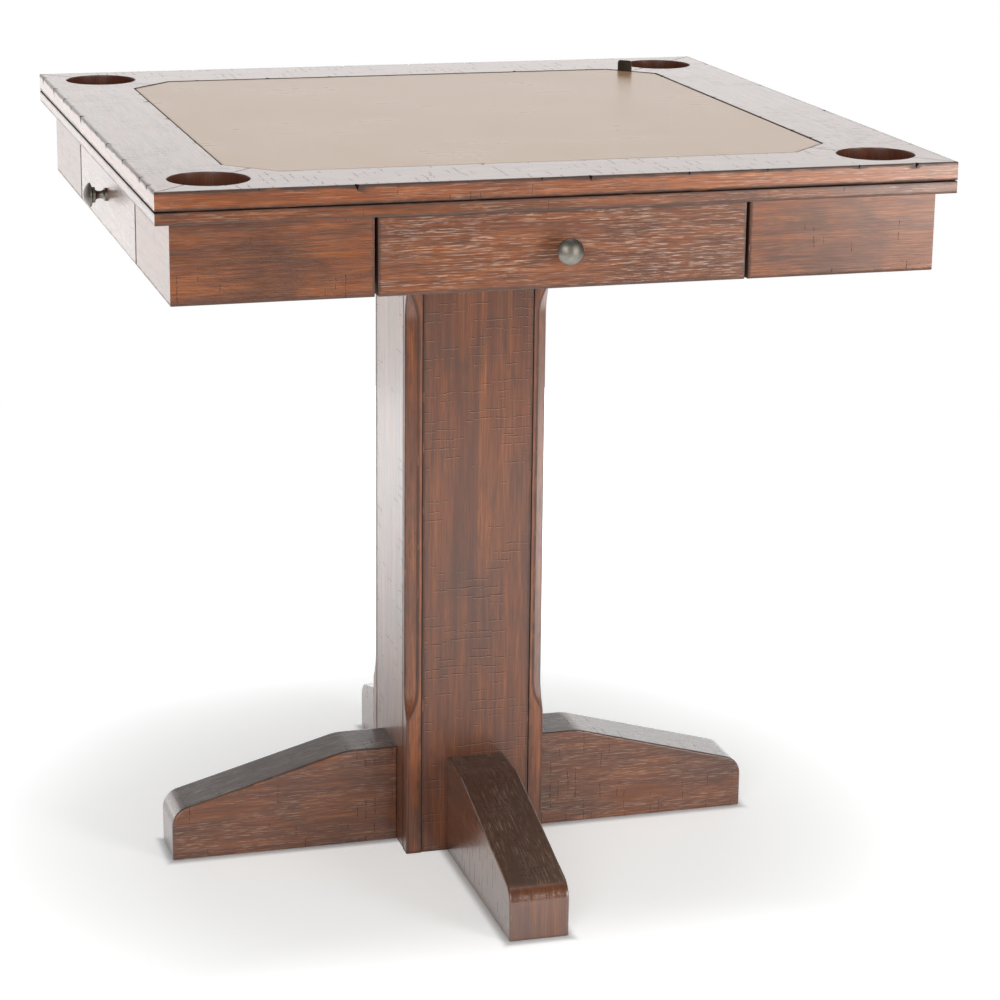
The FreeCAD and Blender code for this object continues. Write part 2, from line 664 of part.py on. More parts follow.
def column_panel(label, turn):
    """Panel that lies in the rebates of two posts, with eased edges and two bolt holes."""
    body = new_body(label, turn)
    sketch = new_sketch(body, "XY_Plane", offset=BASE_FOOT)
    half = f"({POST_SEAM} - Sizes.panel_gap)"
    draw_outline(sketch, rectangle(minus(half), minus(HALF_COLUMN), half, minus(PANEL_BACK)))
    extrude(body, "Pad", sketch, f"({COLUMN_HEAD} - {BASE_FOOT})")
    holes = bolt_circles(body, PANEL_BACK, BOLT_HOLE)
    extrude(body, "Pocket", holes, "Sizes.panel_thickness", reverse=True)
    edges = edges_at(body, x=half, y=minus(HALF_COLUMN))
    edges += edges_at(body, x=minus(half), y=minus(HALF_COLUMN))
    ease(body, "Chamfer", edges, "Sizes.panel_chamfer")
    return body


def leg(label, turn):
    """Leg with a level top at the column, a straight slope and a rounded toe."""
    body = new_body(label, turn)
    sketch = new_sketch(body, "YZ_Plane")
    root, toe, bend = minus(HALF_COLUMN), "(-Sizes.leg_reach)", "(-Sizes.leg_flat_end)"
    draw_outline(
        sketch,
        [
            (root, BASE_FOOT),
            (root, "Sizes.leg_height"),
            (bend, "Sizes.leg_height"),
            (toe, "Sizes.leg_toe_height"),
            (toe, BASE_FOOT),
        ],
    )
    extrude(body, "Pad", sketch, "Sizes.leg_width", both_ways=True)
    holes = bolt_circles(body, HALF_COLUMN, BOLT_HOLE)
    depth = "(Sizes.bolt_grip + Sizes.fit_clearance)"
    extrude(body, "Pocket", holes, depth, reverse=True)
    ease(body, "Fillet", edges_at(body, y=toe, z="Sizes.leg_toe_height"), "Sizes.leg_toe_radius")
    ease(body, "Fillet", edges_at(body, y=bend, z="Sizes.leg_height"), "Sizes.leg_bend_radius")
    return body


def leg_bolts(label):
    """Eight bolts from inside the column into the legs, with six-sided heads."""
    body = new_body(label)
    heads = new_sketch(body, "XZ_Plane", offset=BOLT_SEAT)
    half_flat = "(Sizes.bolt_across / 2)"
    corner = "(Sizes.bolt_across / sqrt(3))"
    for height in ("Sizes.bolt_low", "Sizes.bolt_high"):
        right_half = [
            (f"({corner} / 2)", f"({height} - {half_flat})"),
            (corner, height),
            (f"({corner} / 2)", f"({height} + {half_flat})"),
        ]
        draw_outline(heads, right_half + mirrored(right_half))
    head_pad = extrude(body, "Pad", heads, "Sizes.bolt_head", reverse=True)
    stems = bolt_circles(body, BOLT_SEAT, BOLT_RADIUS)
    stem_pad = extrude(body, "Pad", stems, f"({HALF_COLUMN} - {BOLT_SEAT} + Sizes.bolt_grip)")
    ring_of_four(body, [head_pad, stem_pad])
    return body


def leg_washers(label):
    """Eight washers between the bolts' heads and the column panels."""
    body = new_body(label)
    sketch = bolt_circles(body, BOLT_SEAT, "(Sizes.washer_diameter / 2)")
    for height in ("Sizes.bolt_low", "Sizes.bolt_high"):
        draw_circle(sketch, ("0", height), BOLT_HOLE)
    pair = extrude(body, "Pad", sketch, "Sizes.washer_thickness")
    ring_of_four(body, [pair])
    return body


def floor_glides(label):
    """Four round glides under the legs' ends."""
    body = new_body(label)
    sketch = new_sketch(body, "XY_Plane")
    centre = ("0", "(Sizes.glide_inset - Sizes.leg_reach)")
    draw_circle(sketch, centre, "(Sizes.glide_diameter / 2)")
    disc = extrude(body, "Pad", sketch, "Sizes.glide_height")
    ease(body, "Chamfer", edges_at(body, z="0"), "Sizes.glide_chamfer")
    ring_of_four(body, [disc, body.Tip])
    return body


def drawer_front(label, turn):
    """Drawer front, grooved for the sides and the bottom and bored for the knob's screw."""
    body = new_body(label, turn)
    sketch = new_sketch(body, "XY_Plane", offset=APRON_FOOT)
    face, back = minus(APRON_FACE), minus(APRON_BACK)
    draw_outline(sketch, rectangle(minus(HALF_FRONT), face, HALF_FRONT, back))
    extrude(body, "Pad", sketch, FRONT_HEIGHT)
    groove = new_sketch(body, "XZ_Plane", offset=APRON_BACK)
    draw_outline(groove, rectangle(minus(BOTTOM_EDGE), BOTTOM_FOOT, BOTTOM_EDGE, BOTTOM_FACE))
    extrude(body, "Pocket", groove, "Sizes.bottom_groove", reverse=True)
    dadoes = new_sketch(body, "XZ_Plane", offset=APRON_BACK)
    dado = rectangle(HALF_BOX_INSIDE, BOX_FOOT, HALF_BOX, BOX_HEAD)
    draw_outline(dadoes, dado)
    draw_outline(dadoes, mirrored(dado))
    extrude(body, "Pocket", dadoes, "Sizes.dado_depth", reverse=True)
    hole = new_sketch(body, "XZ_Plane", offset=APRON_BACK)
    draw_circle(hole, ("0", KNOB_HEIGHT), KNOB_SCREW_HOLE)
    extrude(body, "Pocket", hole, "Sizes.apron_thickness", reverse=True)
    return body


def drawer_sides(label, turn):
    """The two sides of one drawer, cut for the runners, the bottom and the back."""
    body = new_body(label, turn)
    sketch = new_sketch(body, "XY_Plane", offset=BOX_FOOT)
    side = rectangle(HALF_BOX_INSIDE, minus(SIDE_FRONT), HALF_BOX, minus(BOX_BACK))
    draw_outline(sketch, side)
    draw_outline(sketch, mirrored(side))
    extrude(body, "Pad", sketch, "Sizes.drawer_side_height")
    grooves = new_sketch(body, "XZ_Plane", offset=BOX_BACK)
    runner_groove = rectangle(
        f"({RUNNER_EDGE} - Sizes.slide_clearance)",
        f"({RUNNER_FOOT} - Sizes.slide_clearance)",
        f"({HALF_BOX} + Sizes.overrun)",
        f"({RUNNER_HEAD} + Sizes.slide_clearance)",
    )
    panel_groove = rectangle(
        f"({HALF_BOX_INSIDE} - Sizes.overrun)", BOTTOM_FOOT, BOTTOM_EDGE, BOTTOM_FACE
    )
    for outline in (runner_groove, panel_groove):
        draw_outline(grooves, outline)
        draw_outline(grooves, mirrored(outline))
    extrude(body, "Pocket", grooves, f"({SIDE_FRONT} - {BOX_BACK})", reverse=True)
    steps = new_sketch(body, "XY_Plane", offset=BOX_HEAD)
    step = rectangle(
        f"({HALF_BOX_INSIDE} - Sizes.overrun)",
        minus(BOX_BACK_FACE),
        BACK_END,
        minus(f"({BOX_BACK} - Sizes.overrun)"),
    )
    draw_outline(steps, step)
    draw_outline(steps, mirrored(step))
    extrude(body, "Pocket", steps, f"({BOX_HEAD} - {BOTTOM_FACE})")
    return body


def drawer_back(label, turn):
    """Back of one drawer, in the steps of its sides and on its bottom."""
    body = new_body(label, turn)
    sketch = new_sketch(body, "XY_Plane", offset=BOTTOM_FACE)
    draw_outline(sketch, rectangle(minus(BACK_END), minus(BOX_BACK_FACE), BACK_END, minus(BOX_BACK)))
    extrude(body, "Pad", sketch, f"({BOX_HEAD} - Sizes.drawer_back_drop - {BOTTOM_FACE})")
    return body


def drawer_bottom(label, turn):
    """Bottom of one drawer, in the grooves of its front and sides."""
    body = new_body(label, turn)
    sketch = new_sketch(body, "XY_Plane", offset=BOTTOM_FOOT)
    front = minus(f"({APRON_BACK} + Sizes.bottom_groove)")
    draw_outline(sketch, rectangle(minus(BOTTOM_EDGE), front, BOTTOM_EDGE, minus(BOX_BACK)))
    extrude(body, "Pad", sketch, "Sizes.drawer_bottom_thickness")
    return body


def drawer_knob(label, turn):
    """Turned knob with a domed head, a ring, a waisted neck and a foot ring, and its screw."""
    body = new_body(label, turn)
    sketch = new_sketch(body, "YZ_Plane", rise=KNOB_HEIGHT)
    face = minus(APRON_FACE)
    neck_end = "(Sizes.knob_neck_diameter / 2 + Sizes.knob_neck_flare)"
    neck_half = "((Sizes.knob_collar_start - Sizes.knob_base_thickness) / 2)"
    neck_curve = f"(({neck_half}^2 + Sizes.knob_neck_flare^2) / (2 * Sizes.knob_neck_flare))"
    head = "(Sizes.knob_head_diameter / 2)"
    dome = "(Sizes.knob_projection - Sizes.knob_head_edge)"
    dome_curve = f"(({head}^2 + {dome}^2) / (2 * {dome}))"
    collar = "(Sizes.knob_collar_diameter / 2)"
    base = "(Sizes.knob_base_diameter / 2)"
    collar_end = f"({face} - Sizes.knob_collar_start - Sizes.knob_collar_thickness)"
    neck_start = f"({face} - Sizes.knob_base_thickness)"
    neck_stop = f"({face} - Sizes.knob_collar_start)"
    bore_end = f"({face} - Sizes.knob_screw_depth - Sizes.fit_clearance)"
    draw_outline(
        sketch,
        [
            (face, KNOB_SCREW_HOLE),
            (face, base),
            (neck_start, base),
            (neck_start, neck_end),
            (neck_stop, neck_end, neck_curve, "cw"),
            (neck_stop, collar),
            (collar_end, collar),
            (f"({face} - Sizes.knob_head_edge + Sizes.knob_rim)", head),
            (f"({face} - Sizes.knob_head_edge)", head),
            (f"({face} - Sizes.knob_projection)", "0", dome_curve, "ccw"),
            (bore_end, "0"),
            (bore_end, KNOB_SCREW_HOLE),
        ],
    )
    screw_tip = f"({face} - Sizes.knob_screw_depth)"
    screw_seat = minus(APRON_BACK)
    screw_end = f"({screw_seat} + Sizes.knob_screw_head_height)"
    screw_head = "(Sizes.knob_screw_head / 2)"
    draw_outline(
        sketch,
        [
            (screw_tip, "0"),
            (screw_end, "0"),
            (screw_end, screw_head),
            (screw_seat, screw_head),
            (screw_seat, KNOB_SCREW_RADIUS),
            (screw_tip, KNOB_SCREW_RADIUS),
        ],
    )
    revolve(body, sketch)
    return body


def build_pieces():
    """Make every piece of the table, in the order in which it goes together."""
    pieces = [support_panel("support_panel"), cup_floors("cup_floors")]
    pieces += [insert_board("insert_board"), playing_surface("playing_surface")]
    pieces += [pull_tab("pull_tab"), drawer_runners("drawer_runners")]
    pieces += [corner_blocks("corner_blocks"), mounting_plate("mounting_plate")]
    pieces += [plate_screws("plate_screws"), leg_bolts("leg_bolts")]
    pieces += [leg_washers("leg_washers"), floor_glides("floor_glides")]
    for index, side in enumerate(SIDES):
        turn = QUARTER_TURN * index
        open_below = index % 2 == 0
        mouth = GUIDE_FOOT if open_below else TOP_UNDERSIDE
        edge = TOP_UNDERSIDE if open_below else GUIDE_FOOT
        pieces.append(top_rail(f"top_rail_{side}", turn))
        pieces.append(lower_rail(f"lower_rail_{side}", turn))
        pieces.append(apron(f"apron_{side}", turn))
        pieces.append(guide_board(f"guide_board_{side}", turn, mouth, edge))
        pieces.append(column_post(f"column_post_{POST_CORNERS[index]}", turn))
        pieces.append(column_panel(f"column_panel_{side}", turn))
        pieces.append(leg(f"leg_{side}", turn))
        pieces.append(drawer_front(f"drawer_{side}_front", turn))
        pieces.append(drawer_sides(f"drawer_{side}_sides", turn))
        pieces.append(drawer_back(f"drawer_{side}_back", turn))
        pieces.append(drawer_bottom(f"drawer_{side}_bottom", turn))
        pieces.append(drawer_knob(f"drawer_{side}_knob", turn))
    return pieces


def check_document(pieces):
    """Stop if any object failed or any piece has no sound solid."""
    for item in doc.Objects:
        if "Invalid" in item.State or "Error" in item.State:
            raise RuntimeError(f"{item.Name} failed: {item.State}")
    for piece in pieces:
        if piece.Shape.isNull() or not piece.Shape.isValid() or not piece.Shape.Solids:
            raise RuntimeError(f"{piece.Label} has no sound solid")


def write_pieces(pieces):
    """Write one file for each piece."""
    os.makedirs("parts", exist_ok=True)
    for piece in pieces:
        piece.Shape.exportStep(f"parts/{piece.Label}.step")
        print(piece.Label, len(piece.Shape.Solids), round(piece.Shape.Volume, 1))


table_pieces = build_pieces()
doc.recompute()
check_document(table_pieces)
write_pieces(table_pieces)
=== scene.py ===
"""Looks of the flip-top game table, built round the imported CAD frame."""

import logging
import math
from dataclasses import dataclass
from enum import Enum
from functools import cache
from typing import Callable, Sequence

import bmesh
import bpy
from mathutils import Matrix, Quaternion, Vector, noise


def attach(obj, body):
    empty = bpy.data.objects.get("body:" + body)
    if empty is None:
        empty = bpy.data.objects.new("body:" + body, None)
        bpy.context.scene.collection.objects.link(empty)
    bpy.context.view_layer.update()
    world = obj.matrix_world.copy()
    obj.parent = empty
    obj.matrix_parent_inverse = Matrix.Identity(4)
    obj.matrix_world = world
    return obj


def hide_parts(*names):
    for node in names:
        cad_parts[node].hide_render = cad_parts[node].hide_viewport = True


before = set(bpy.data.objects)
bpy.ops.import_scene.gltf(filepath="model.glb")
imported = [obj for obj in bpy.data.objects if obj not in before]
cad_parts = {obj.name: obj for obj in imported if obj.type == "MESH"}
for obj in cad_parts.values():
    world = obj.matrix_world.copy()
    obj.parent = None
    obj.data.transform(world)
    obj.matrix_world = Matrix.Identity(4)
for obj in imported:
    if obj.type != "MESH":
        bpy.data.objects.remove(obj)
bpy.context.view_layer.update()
LOG = logging.getLogger("game_table")
MM = 0.001
WEAR_LAYER = "arris"
NICK_MARK = 9
# How far along the plank a side's boards are cut, for each degree of its turn.
PLANK_STEP = 0.01
SMOOTH_ANGLE = math.radians(38)
# How far a face's normal has to lean towards a direction to count as facing it.
FACES_UP = 0.7
FACES_ALONG = 0.9
FACES_OUT = 0.6
# Shares of half a thin board's wall that its two bands of wear may take.
NEAR_ROOM = 0.4
FAR_ROOM = 0.8
# How far a slot's back face reaches in, and how many rings of a rounding a slot stands in for.
SLOT_BACK = 4 * MM
SLOT_TAKES = 3
Colour = tuple[float, float, float, float]
Point = tuple[float, float]
Place = tuple[float, float, float]
Value = float | Sequence[float] | bpy.types.NodeSocket


class Grain(Enum):
    """The axis that a board's grain runs along, as the turn in degrees that brings it to X."""

    ALONG_X = (0.0, 0.0, 0.0)
    ALONG_Y = (0.0, 0.0, -90.0)
    ALONG_Z = (0.0, 90.0, 0.0)


class Side(Enum):
    """The four sides of the table, as the turn in degrees from the front."""

    FRONT = 0
    RIGHT = 90
    BACK = 180
    LEFT = 270

    @property
    def label(self) -> str:
        """The side's word in the names of nodes and pieces."""
        return self.name.lower()

    @property
    def grain(self) -> Grain:
        """The grain of a level board along this side."""
        return Grain.ALONG_X if self.value % 180 == 0 else Grain.ALONG_Y

    @property
    def across(self) -> Grain:
        """The grain of a board that stands out from this side."""
        return Grain.ALONG_Y if self.value % 180 == 0 else Grain.ALONG_X

    def turn(self) -> Matrix:
        """The turn about the table's middle from the front to this side."""
        return Matrix.Rotation(math.radians(self.value), 4, "Z")


class Edge(Enum):
    """How an edge of a board is finished, as the share of the rounding that it takes."""

    WORN = 1.0
    HIDDEN = 0.3
    JOINT = 0.35


class Plane(Enum):
    """The plane that an outline is drawn in; its boards grow along the plane's normal."""

    PLAN = "plan"
    FRONT_VIEW = "front view"
    SIDE_VIEW = "side view"

    def place(self, across: float, up: float, out: float) -> Vector:
        """The point in space of a point of the outline.

        Args:
            across: first coordinate in the outline.
            up: second coordinate in the outline.
            out: height along the plane's normal.

        Returns:
            The point, in metres.
        """
        if self is Plane.PLAN:
            return Vector((across, up, out))
        if self is Plane.FRONT_VIEW:
            return Vector((across, -out, up))
        return Vector((out, across, up))


class Socket(Enum):
    """The kinds of socket that the node groups have."""

    NUMBER = "NodeSocketFloat"
    WHOLE = "NodeSocketInt"
    VECTOR = "NodeSocketVector"
    MESH = "NodeSocketGeometry"
    MATERIAL = "NodeSocketMaterial"


@dataclass(frozen=True)
class Cloud:
    """A noise pattern: its features per metre along and across the grain, and its octaves."""

    along: float
    across: float
    detail: float = 2.0
    roughness: float = 0.5
    distortion: float = 0.0


class NodeWeb:
    """A node tree with short calls that add nodes and link them."""

    MIDWAY = 0.5

    def __init__(self, tree: bpy.types.NodeTree) -> None:
        """Starts on an empty tree."""
        self.tree = tree
        self.tree.nodes.clear()

    def socket(self, label: str, way: str, kind: Socket) -> bpy.types.NodeTreeInterfaceSocket:
        """A new socket of a group's own, which is an INPUT or an OUTPUT."""
        return self.tree.interface.new_socket(name=label, in_out=way, socket_type=kind.value)

    def feed(self, node: bpy.types.Node, inputs: dict[str | int, Value]) -> bpy.types.Node:
        """Sets a node's inputs, or links them where the value is a socket.

        Args:
            node: the node to feed.
            inputs: numbers, tuples or output sockets for its inputs, by name or place.

        Returns:
            The same node.
        """
        for key, value in inputs.items():
            if isinstance(value, bpy.types.NodeSocket):
                self.tree.links.new(value, node.inputs[key])
            else:
                node.inputs[key].default_value = value
        return node

    def add(self, kind: str, inputs: dict[str | int, Value] | None = None,
            **settings: object) -> bpy.types.Node:
        """Adds a node.

        Args:
            kind: the node's type name.
            inputs: values or sockets for its inputs, by name or place.
            settings: the node's own properties.

        Returns:
            The new node.
        """
        node = self.tree.nodes.new(kind)
        for key, value in settings.items():
            setattr(node, key, value)
        return self.feed(node, inputs or {})

    def sum(self, operation: str, first: Value, second: Value = 0.0) -> bpy.types.NodeSocket:
        """The result of one Math node."""
        return self.add("ShaderNodeMath", {0: first, 1: second}, operation=operation).outputs[0]

    def plus(self, first: Value, second: Value) -> bpy.types.NodeSocket:
        """Two numbers added."""
        return self.sum("ADD", first, second)

    def less(self, first: Value, second: Value) -> bpy.types.NodeSocket:
        """A number without another."""
        return self.sum("SUBTRACT", first, second)

    def times(self, first: Value, second: Value) -> bpy.types.NodeSocket:
        """Two numbers multiplied."""
        return self.sum("MULTIPLY", first, second)

    def apart(self, first: Value, second: Value) -> bpy.types.NodeSocket:
        """How far a number is from another."""
        return self.sum("ABSOLUTE", self.less(first, second))

    def sum_int(self, first: Value, second: int) -> bpy.types.NodeSocket:
        """A whole number added to another, for the seeds of a geometry tree."""
        return self.add("FunctionNodeIntegerMath", {0: first, 1: second}, operation="ADD").outputs[0]

    def vector(self, operation: str, first: Value, second: Value = (0.0, 0.0, 0.0)) -> bpy.types.NodeSocket:
        """The result of one Vector Math node."""
        return self.add("ShaderNodeVectorMath", {0: first, 1: second}, operation=operation).outputs[0]

    def scaled(self, vector: Value, factor: Value) -> bpy.types.NodeSocket:
        """A vector made longer by a factor."""
        return self.add("ShaderNodeVectorMath", {0: vector, "Scale": factor}, operation="SCALE").outputs[0]

    def axes(self, vector: Value) -> bpy.types.NodeOutputs:
        """The three numbers of a vector."""
        return self.add("ShaderNodeSeparateXYZ", {0: vector}).outputs

    def joined(self, x: Value = 0.0, y: Value = 0.0, z: Value = 0.0) -> bpy.types.NodeSocket:
        """A vector of three numbers."""
        return self.add("ShaderNodeCombineXYZ", {0: x, 1: y, 2: z}).outputs[0]

    def cloud(self, vector: Value, pattern: Cloud) -> bpy.types.NodeSocket:
        """The value of a noise pattern at a point.

        Args:
            vector: the point's socket.
            pattern: the pattern.

        Returns:
            The value's socket.
        """
        point = self.vector("MULTIPLY", vector, (pattern.along, pattern.across, pattern.across))
        inputs = {"Vector": point, "Scale": 1.0, "Detail": pattern.detail,
                  "Roughness": pattern.roughness, "Distortion": pattern.distortion}
        return self.add("ShaderNodeTexNoise", inputs).outputs[0]

    def span(self, value: Value, low: Value, high: Value, start: float = 0.0,
             end: float = 1.0) -> bpy.types.NodeSocket:
        """A value eased from a range, low to high, to another, start to end, and held at its ends."""
        inputs = {"Value": value, "From Min": low, "From Max": high, "To Min": start, "To Max": end}
        return self.add("ShaderNodeMapRange", inputs, interpolation_type="SMOOTHSTEP").outputs[0]

    def fade(self, value: Value, low: Value, high: Value) -> bpy.types.NodeSocket:
        """One, eased down to nothing over a range of the value."""
        return self.span(value, low, high, 1.0, 0.0)

    def blend(self, factor: Value, first: Value, second: Value) -> bpy.types.NodeSocket:
        """Two colours mixed, by the share of the second; a Mix node takes colours at places 6 and 7."""
        inputs = {0: factor, 6: first, 7: second}
        return self.add("ShaderNodeMix", inputs, data_type="RGBA", clamp_factor=True).outputs[2]

    def ramp(self, factor: Value, places: Sequence[float], colours: Sequence[Colour]) -> bpy.types.NodeSocket:
        """A colour ramp.

        Args:
            factor: where on the ramp.
            places: the places of its stops.
            colours: their colours.

        Returns:
            The colour's socket.
        """
        node = self.add("ShaderNodeValToRGB", {0: factor})
        steps = node.color_ramp.elements
        while len(steps) < len(places):
            steps.new(self.MIDWAY)
        for step, place, colour in zip(steps, places, colours):
            step.position = place
            step.color = colour
        return node.outputs[0]

    def group(self, tree: bpy.types.NodeTree, inputs: dict[str, Value]) -> bpy.types.NodeOutputs:
        """The outputs of a shared node group, placed here."""
        return self.add("ShaderNodeGroup", inputs, node_tree=tree).outputs


class Effects:
    """The shader node groups that more than one finish uses, each built once."""

    MIDDLE = 0.5
    STREAK = Cloud(3.6, 84.0, 6.0, 0.68, 0.35)
    FIBRE = Cloud(20.0, 640.0, 3.0, 0.6)
    WAVE = Cloud(10.0, 540.0, 2.0, 0.6, 0.1)
    FURROW_LEVEL = 0.46
    FURROW_SPAN = (0.012, 0.055)
    RIDGE_LEVEL = 0.55
    RIDGE_SPAN = (0.010, 0.060)
    ASIDE = (3.7, 1.13, 0.59)
    BREAK = Cloud(60.0, 600.0)
    BREAK_SPAN = (0.45, 0.57)
    BUNCH = Cloud(8.0, 34.0)
    BUNCH_SPAN = (0.30, 0.56)
    BUNCH_LEAST = 0.45
    PATCH = Cloud(6.0, 17.0, 4.0, 0.6, 0.6)
    PATCH_SPAN = (0.44, 0.66)
    STAVE = 0.041
    STAVE_ORDER = 7.31
    SWAY = Cloud(25.0, 60.0)
    SWAY_REACH = 0.004
    SAW_PITCH = 0.0115
    SAW_REACH = 0.021
    SAW_LOOSE = 0.8
    CUT_SPAN = (0.00018, 0.00062)
    LADDER = Cloud(5.0, 9.0, distortion=0.3)
    LADDER_SPAN = (0.36, 0.62)
    DASH = Cloud(90.0, 300.0)
    DASH_SPAN = (0.40, 0.52)
    END_GRAIN = 0.5
    RAGGED = Cloud(45.0, 130.0, 3.0, 0.6)
    RAGGED_REACH = 1.1
    GLAZE_SPAN = (0.3, 0.95)
    SPOT = Cloud(28.0, 70.0)
    SPOT_SPAN = (0.58, 0.7)
    ARRIS_SPAN = (0.8, 1.0)
    MOTTLE = Cloud(1.0, 1.0, 4.0, 0.6, 0.4)
    SPECK = Cloud(9.0, 9.0)
    SPECK_SPAN = (0.5, 0.72)

    @staticmethod
    def open(name: str, inputs: dict[str, Socket],
             outputs: Sequence[str]) -> tuple[NodeWeb, bpy.types.NodeOutputs, bpy.types.Node]:
        """Starts a group with its named sockets.

        Args:
            name: the group's name.
            inputs: the kind of each input, by name.
            outputs: the names of its outputs, which are numbers.

        Returns:
            The group's web, the sockets of its inputs and its output node.
        """
        web = NodeWeb(bpy.data.node_groups.new(name, "ShaderNodeTree"))
        for label, kind in inputs.items():
            web.socket(label, "INPUT", kind)
        for label in outputs:
            web.socket(label, "OUTPUT", Socket.NUMBER)
        return web, web.add("NodeGroupInput").outputs, web.add("NodeGroupOutput")

    @classmethod
    @cache
    def figure(cls) -> bpy.types.NodeTree:
        """Wood figure along X: streaks, fibres, brushed lines, brushed ridges that carry painted glints,
        stain patches and staves.

        Returns:
            The group's tree.
        """
        labels = ("Streak", "Fibre", "Brush", "Fleck", "Patch", "Stave")
        web, inlet, outlet = cls.open("wood_figure", {"Vector": Socket.VECTOR}, labels)
        vector = inlet["Vector"]
        waves = web.cloud(vector, cls.WAVE)
        away = web.vector("ADD", vector, cls.ASIDE)
        breaks = web.span(web.cloud(away, cls.BREAK), *cls.BREAK_SPAN)
        bunches = web.span(web.cloud(away, cls.BUNCH), *cls.BUNCH_SPAN)
        furrow = web.fade(web.apart(waves, cls.FURROW_LEVEL), *cls.FURROW_SPAN)
        ridge = web.fade(web.apart(waves, cls.RIDGE_LEVEL), *cls.RIDGE_SPAN)
        rows, columns = (web.sum("FLOOR", web.sum("DIVIDE", axis, cls.STAVE))
                         for axis in web.axes(vector)[1:])
        order = web.plus(rows, web.times(columns, cls.STAVE_ORDER))
        dice = web.add("ShaderNodeTexWhiteNoise", {"W": order}, noise_dimensions="1D")
        web.feed(outlet, {"Streak": web.cloud(vector, cls.STREAK),
                          "Fibre": web.cloud(vector, cls.FIBRE),
                          "Brush": web.times(furrow, web.span(bunches, 0.0, 1.0, cls.BUNCH_LEAST, 1.0)),
                          "Fleck": web.times(web.times(ridge, breaks), bunches),
                          "Patch": web.span(web.cloud(vector, cls.PATCH), *cls.PATCH_SPAN),
                          "Stave": dice.outputs["Value"]})
        return web.tree

    @classmethod
    @cache
    def saw(cls) -> bpy.types.NodeTree:
        """Short saw cuts across the grain, in loose ladders.

        Returns:
            The group's tree.
        """
        kinds = {"Vector": Socket.VECTOR, "Normal": Socket.VECTOR, "Amount": Socket.NUMBER}
        web, inlet, outlet = cls.open("saw_marks", kinds, ("Mask",))
        vector = inlet["Vector"]
        sway = web.times(web.less(web.cloud(vector, cls.SWAY), cls.MIDDLE), cls.SWAY_REACH)
        bent = web.vector("ADD", vector, web.joined(sway))
        cell = (1.0 / cls.SAW_PITCH, 1.0 / cls.SAW_REACH, 1.0 / cls.SAW_REACH)
        here = web.vector("MULTIPLY", bent, cell)
        inputs = {"Vector": here, "Scale": 1.0, "Randomness": cls.SAW_LOOSE}
        cells = web.add("ShaderNodeTexVoronoi", inputs).outputs
        off = web.apart(web.axes(here)[0], web.axes(cells["Position"])[0])
        line = web.fade(web.times(off, cls.SAW_PITCH), *cls.CUT_SPAN)
        bunch = web.span(web.cloud(vector, cls.LADDER), *cls.LADDER_SPAN)
        limit = web.times(bunch, inlet["Amount"])
        picked = web.sum("LESS_THAN", web.axes(cells["Color"])[0], limit)
        dash = web.span(web.cloud(vector, cls.DASH), *cls.DASH_SPAN)
        facing = web.sum("ABSOLUTE", web.axes(inlet["Normal"])[0])
        flat = web.sum("LESS_THAN", facing, cls.END_GRAIN)
        web.feed(outlet, {"Mask": web.times(web.times(line, picked), web.times(dash, flat))})
        return web.tree

    @classmethod
    @cache
    def arris(cls) -> bpy.types.NodeTree:
        """Dark glaze that lies along an arris, and the spots where it is rubbed through.

        Returns:
            The group's tree.
        """
        kinds = {"Vector": Socket.VECTOR, "Near": Socket.NUMBER}
        web, inlet, outlet = cls.open("arris_glaze", kinds, ("Glaze", "Rubbed"))
        vector, near = inlet["Vector"], inlet["Near"]
        ragged = web.less(web.cloud(vector, cls.RAGGED), cls.MIDDLE)
        level = web.plus(near, web.times(ragged, cls.RAGGED_REACH))
        spots = web.span(web.cloud(vector, cls.SPOT), *cls.SPOT_SPAN)
        web.feed(outlet, {"Glaze": web.span(level, *cls.GLAZE_SPAN),
                          "Rubbed": web.times(spots, web.span(near, *cls.ARRIS_SPAN))})
        return web.tree

    @classmethod
    @cache
    def mottle(cls) -> bpy.types.NodeTree:
        """Soft mottling and fine specks, for leather, metal and plastic.

        Returns:
            The group's tree.
        """
        kinds = {"Vector": Socket.VECTOR, "Size": Socket.NUMBER}
        web, inlet, outlet = cls.open("mottle", kinds, ("Cloud", "Speck"))
        sized = web.scaled(inlet["Vector"], inlet["Size"])
        web.feed(outlet, {"Cloud": web.cloud(sized, cls.MOTTLE),
                          "Speck": web.span(web.cloud(sized, cls.SPECK), *cls.SPECK_SPAN)})
        return web.tree


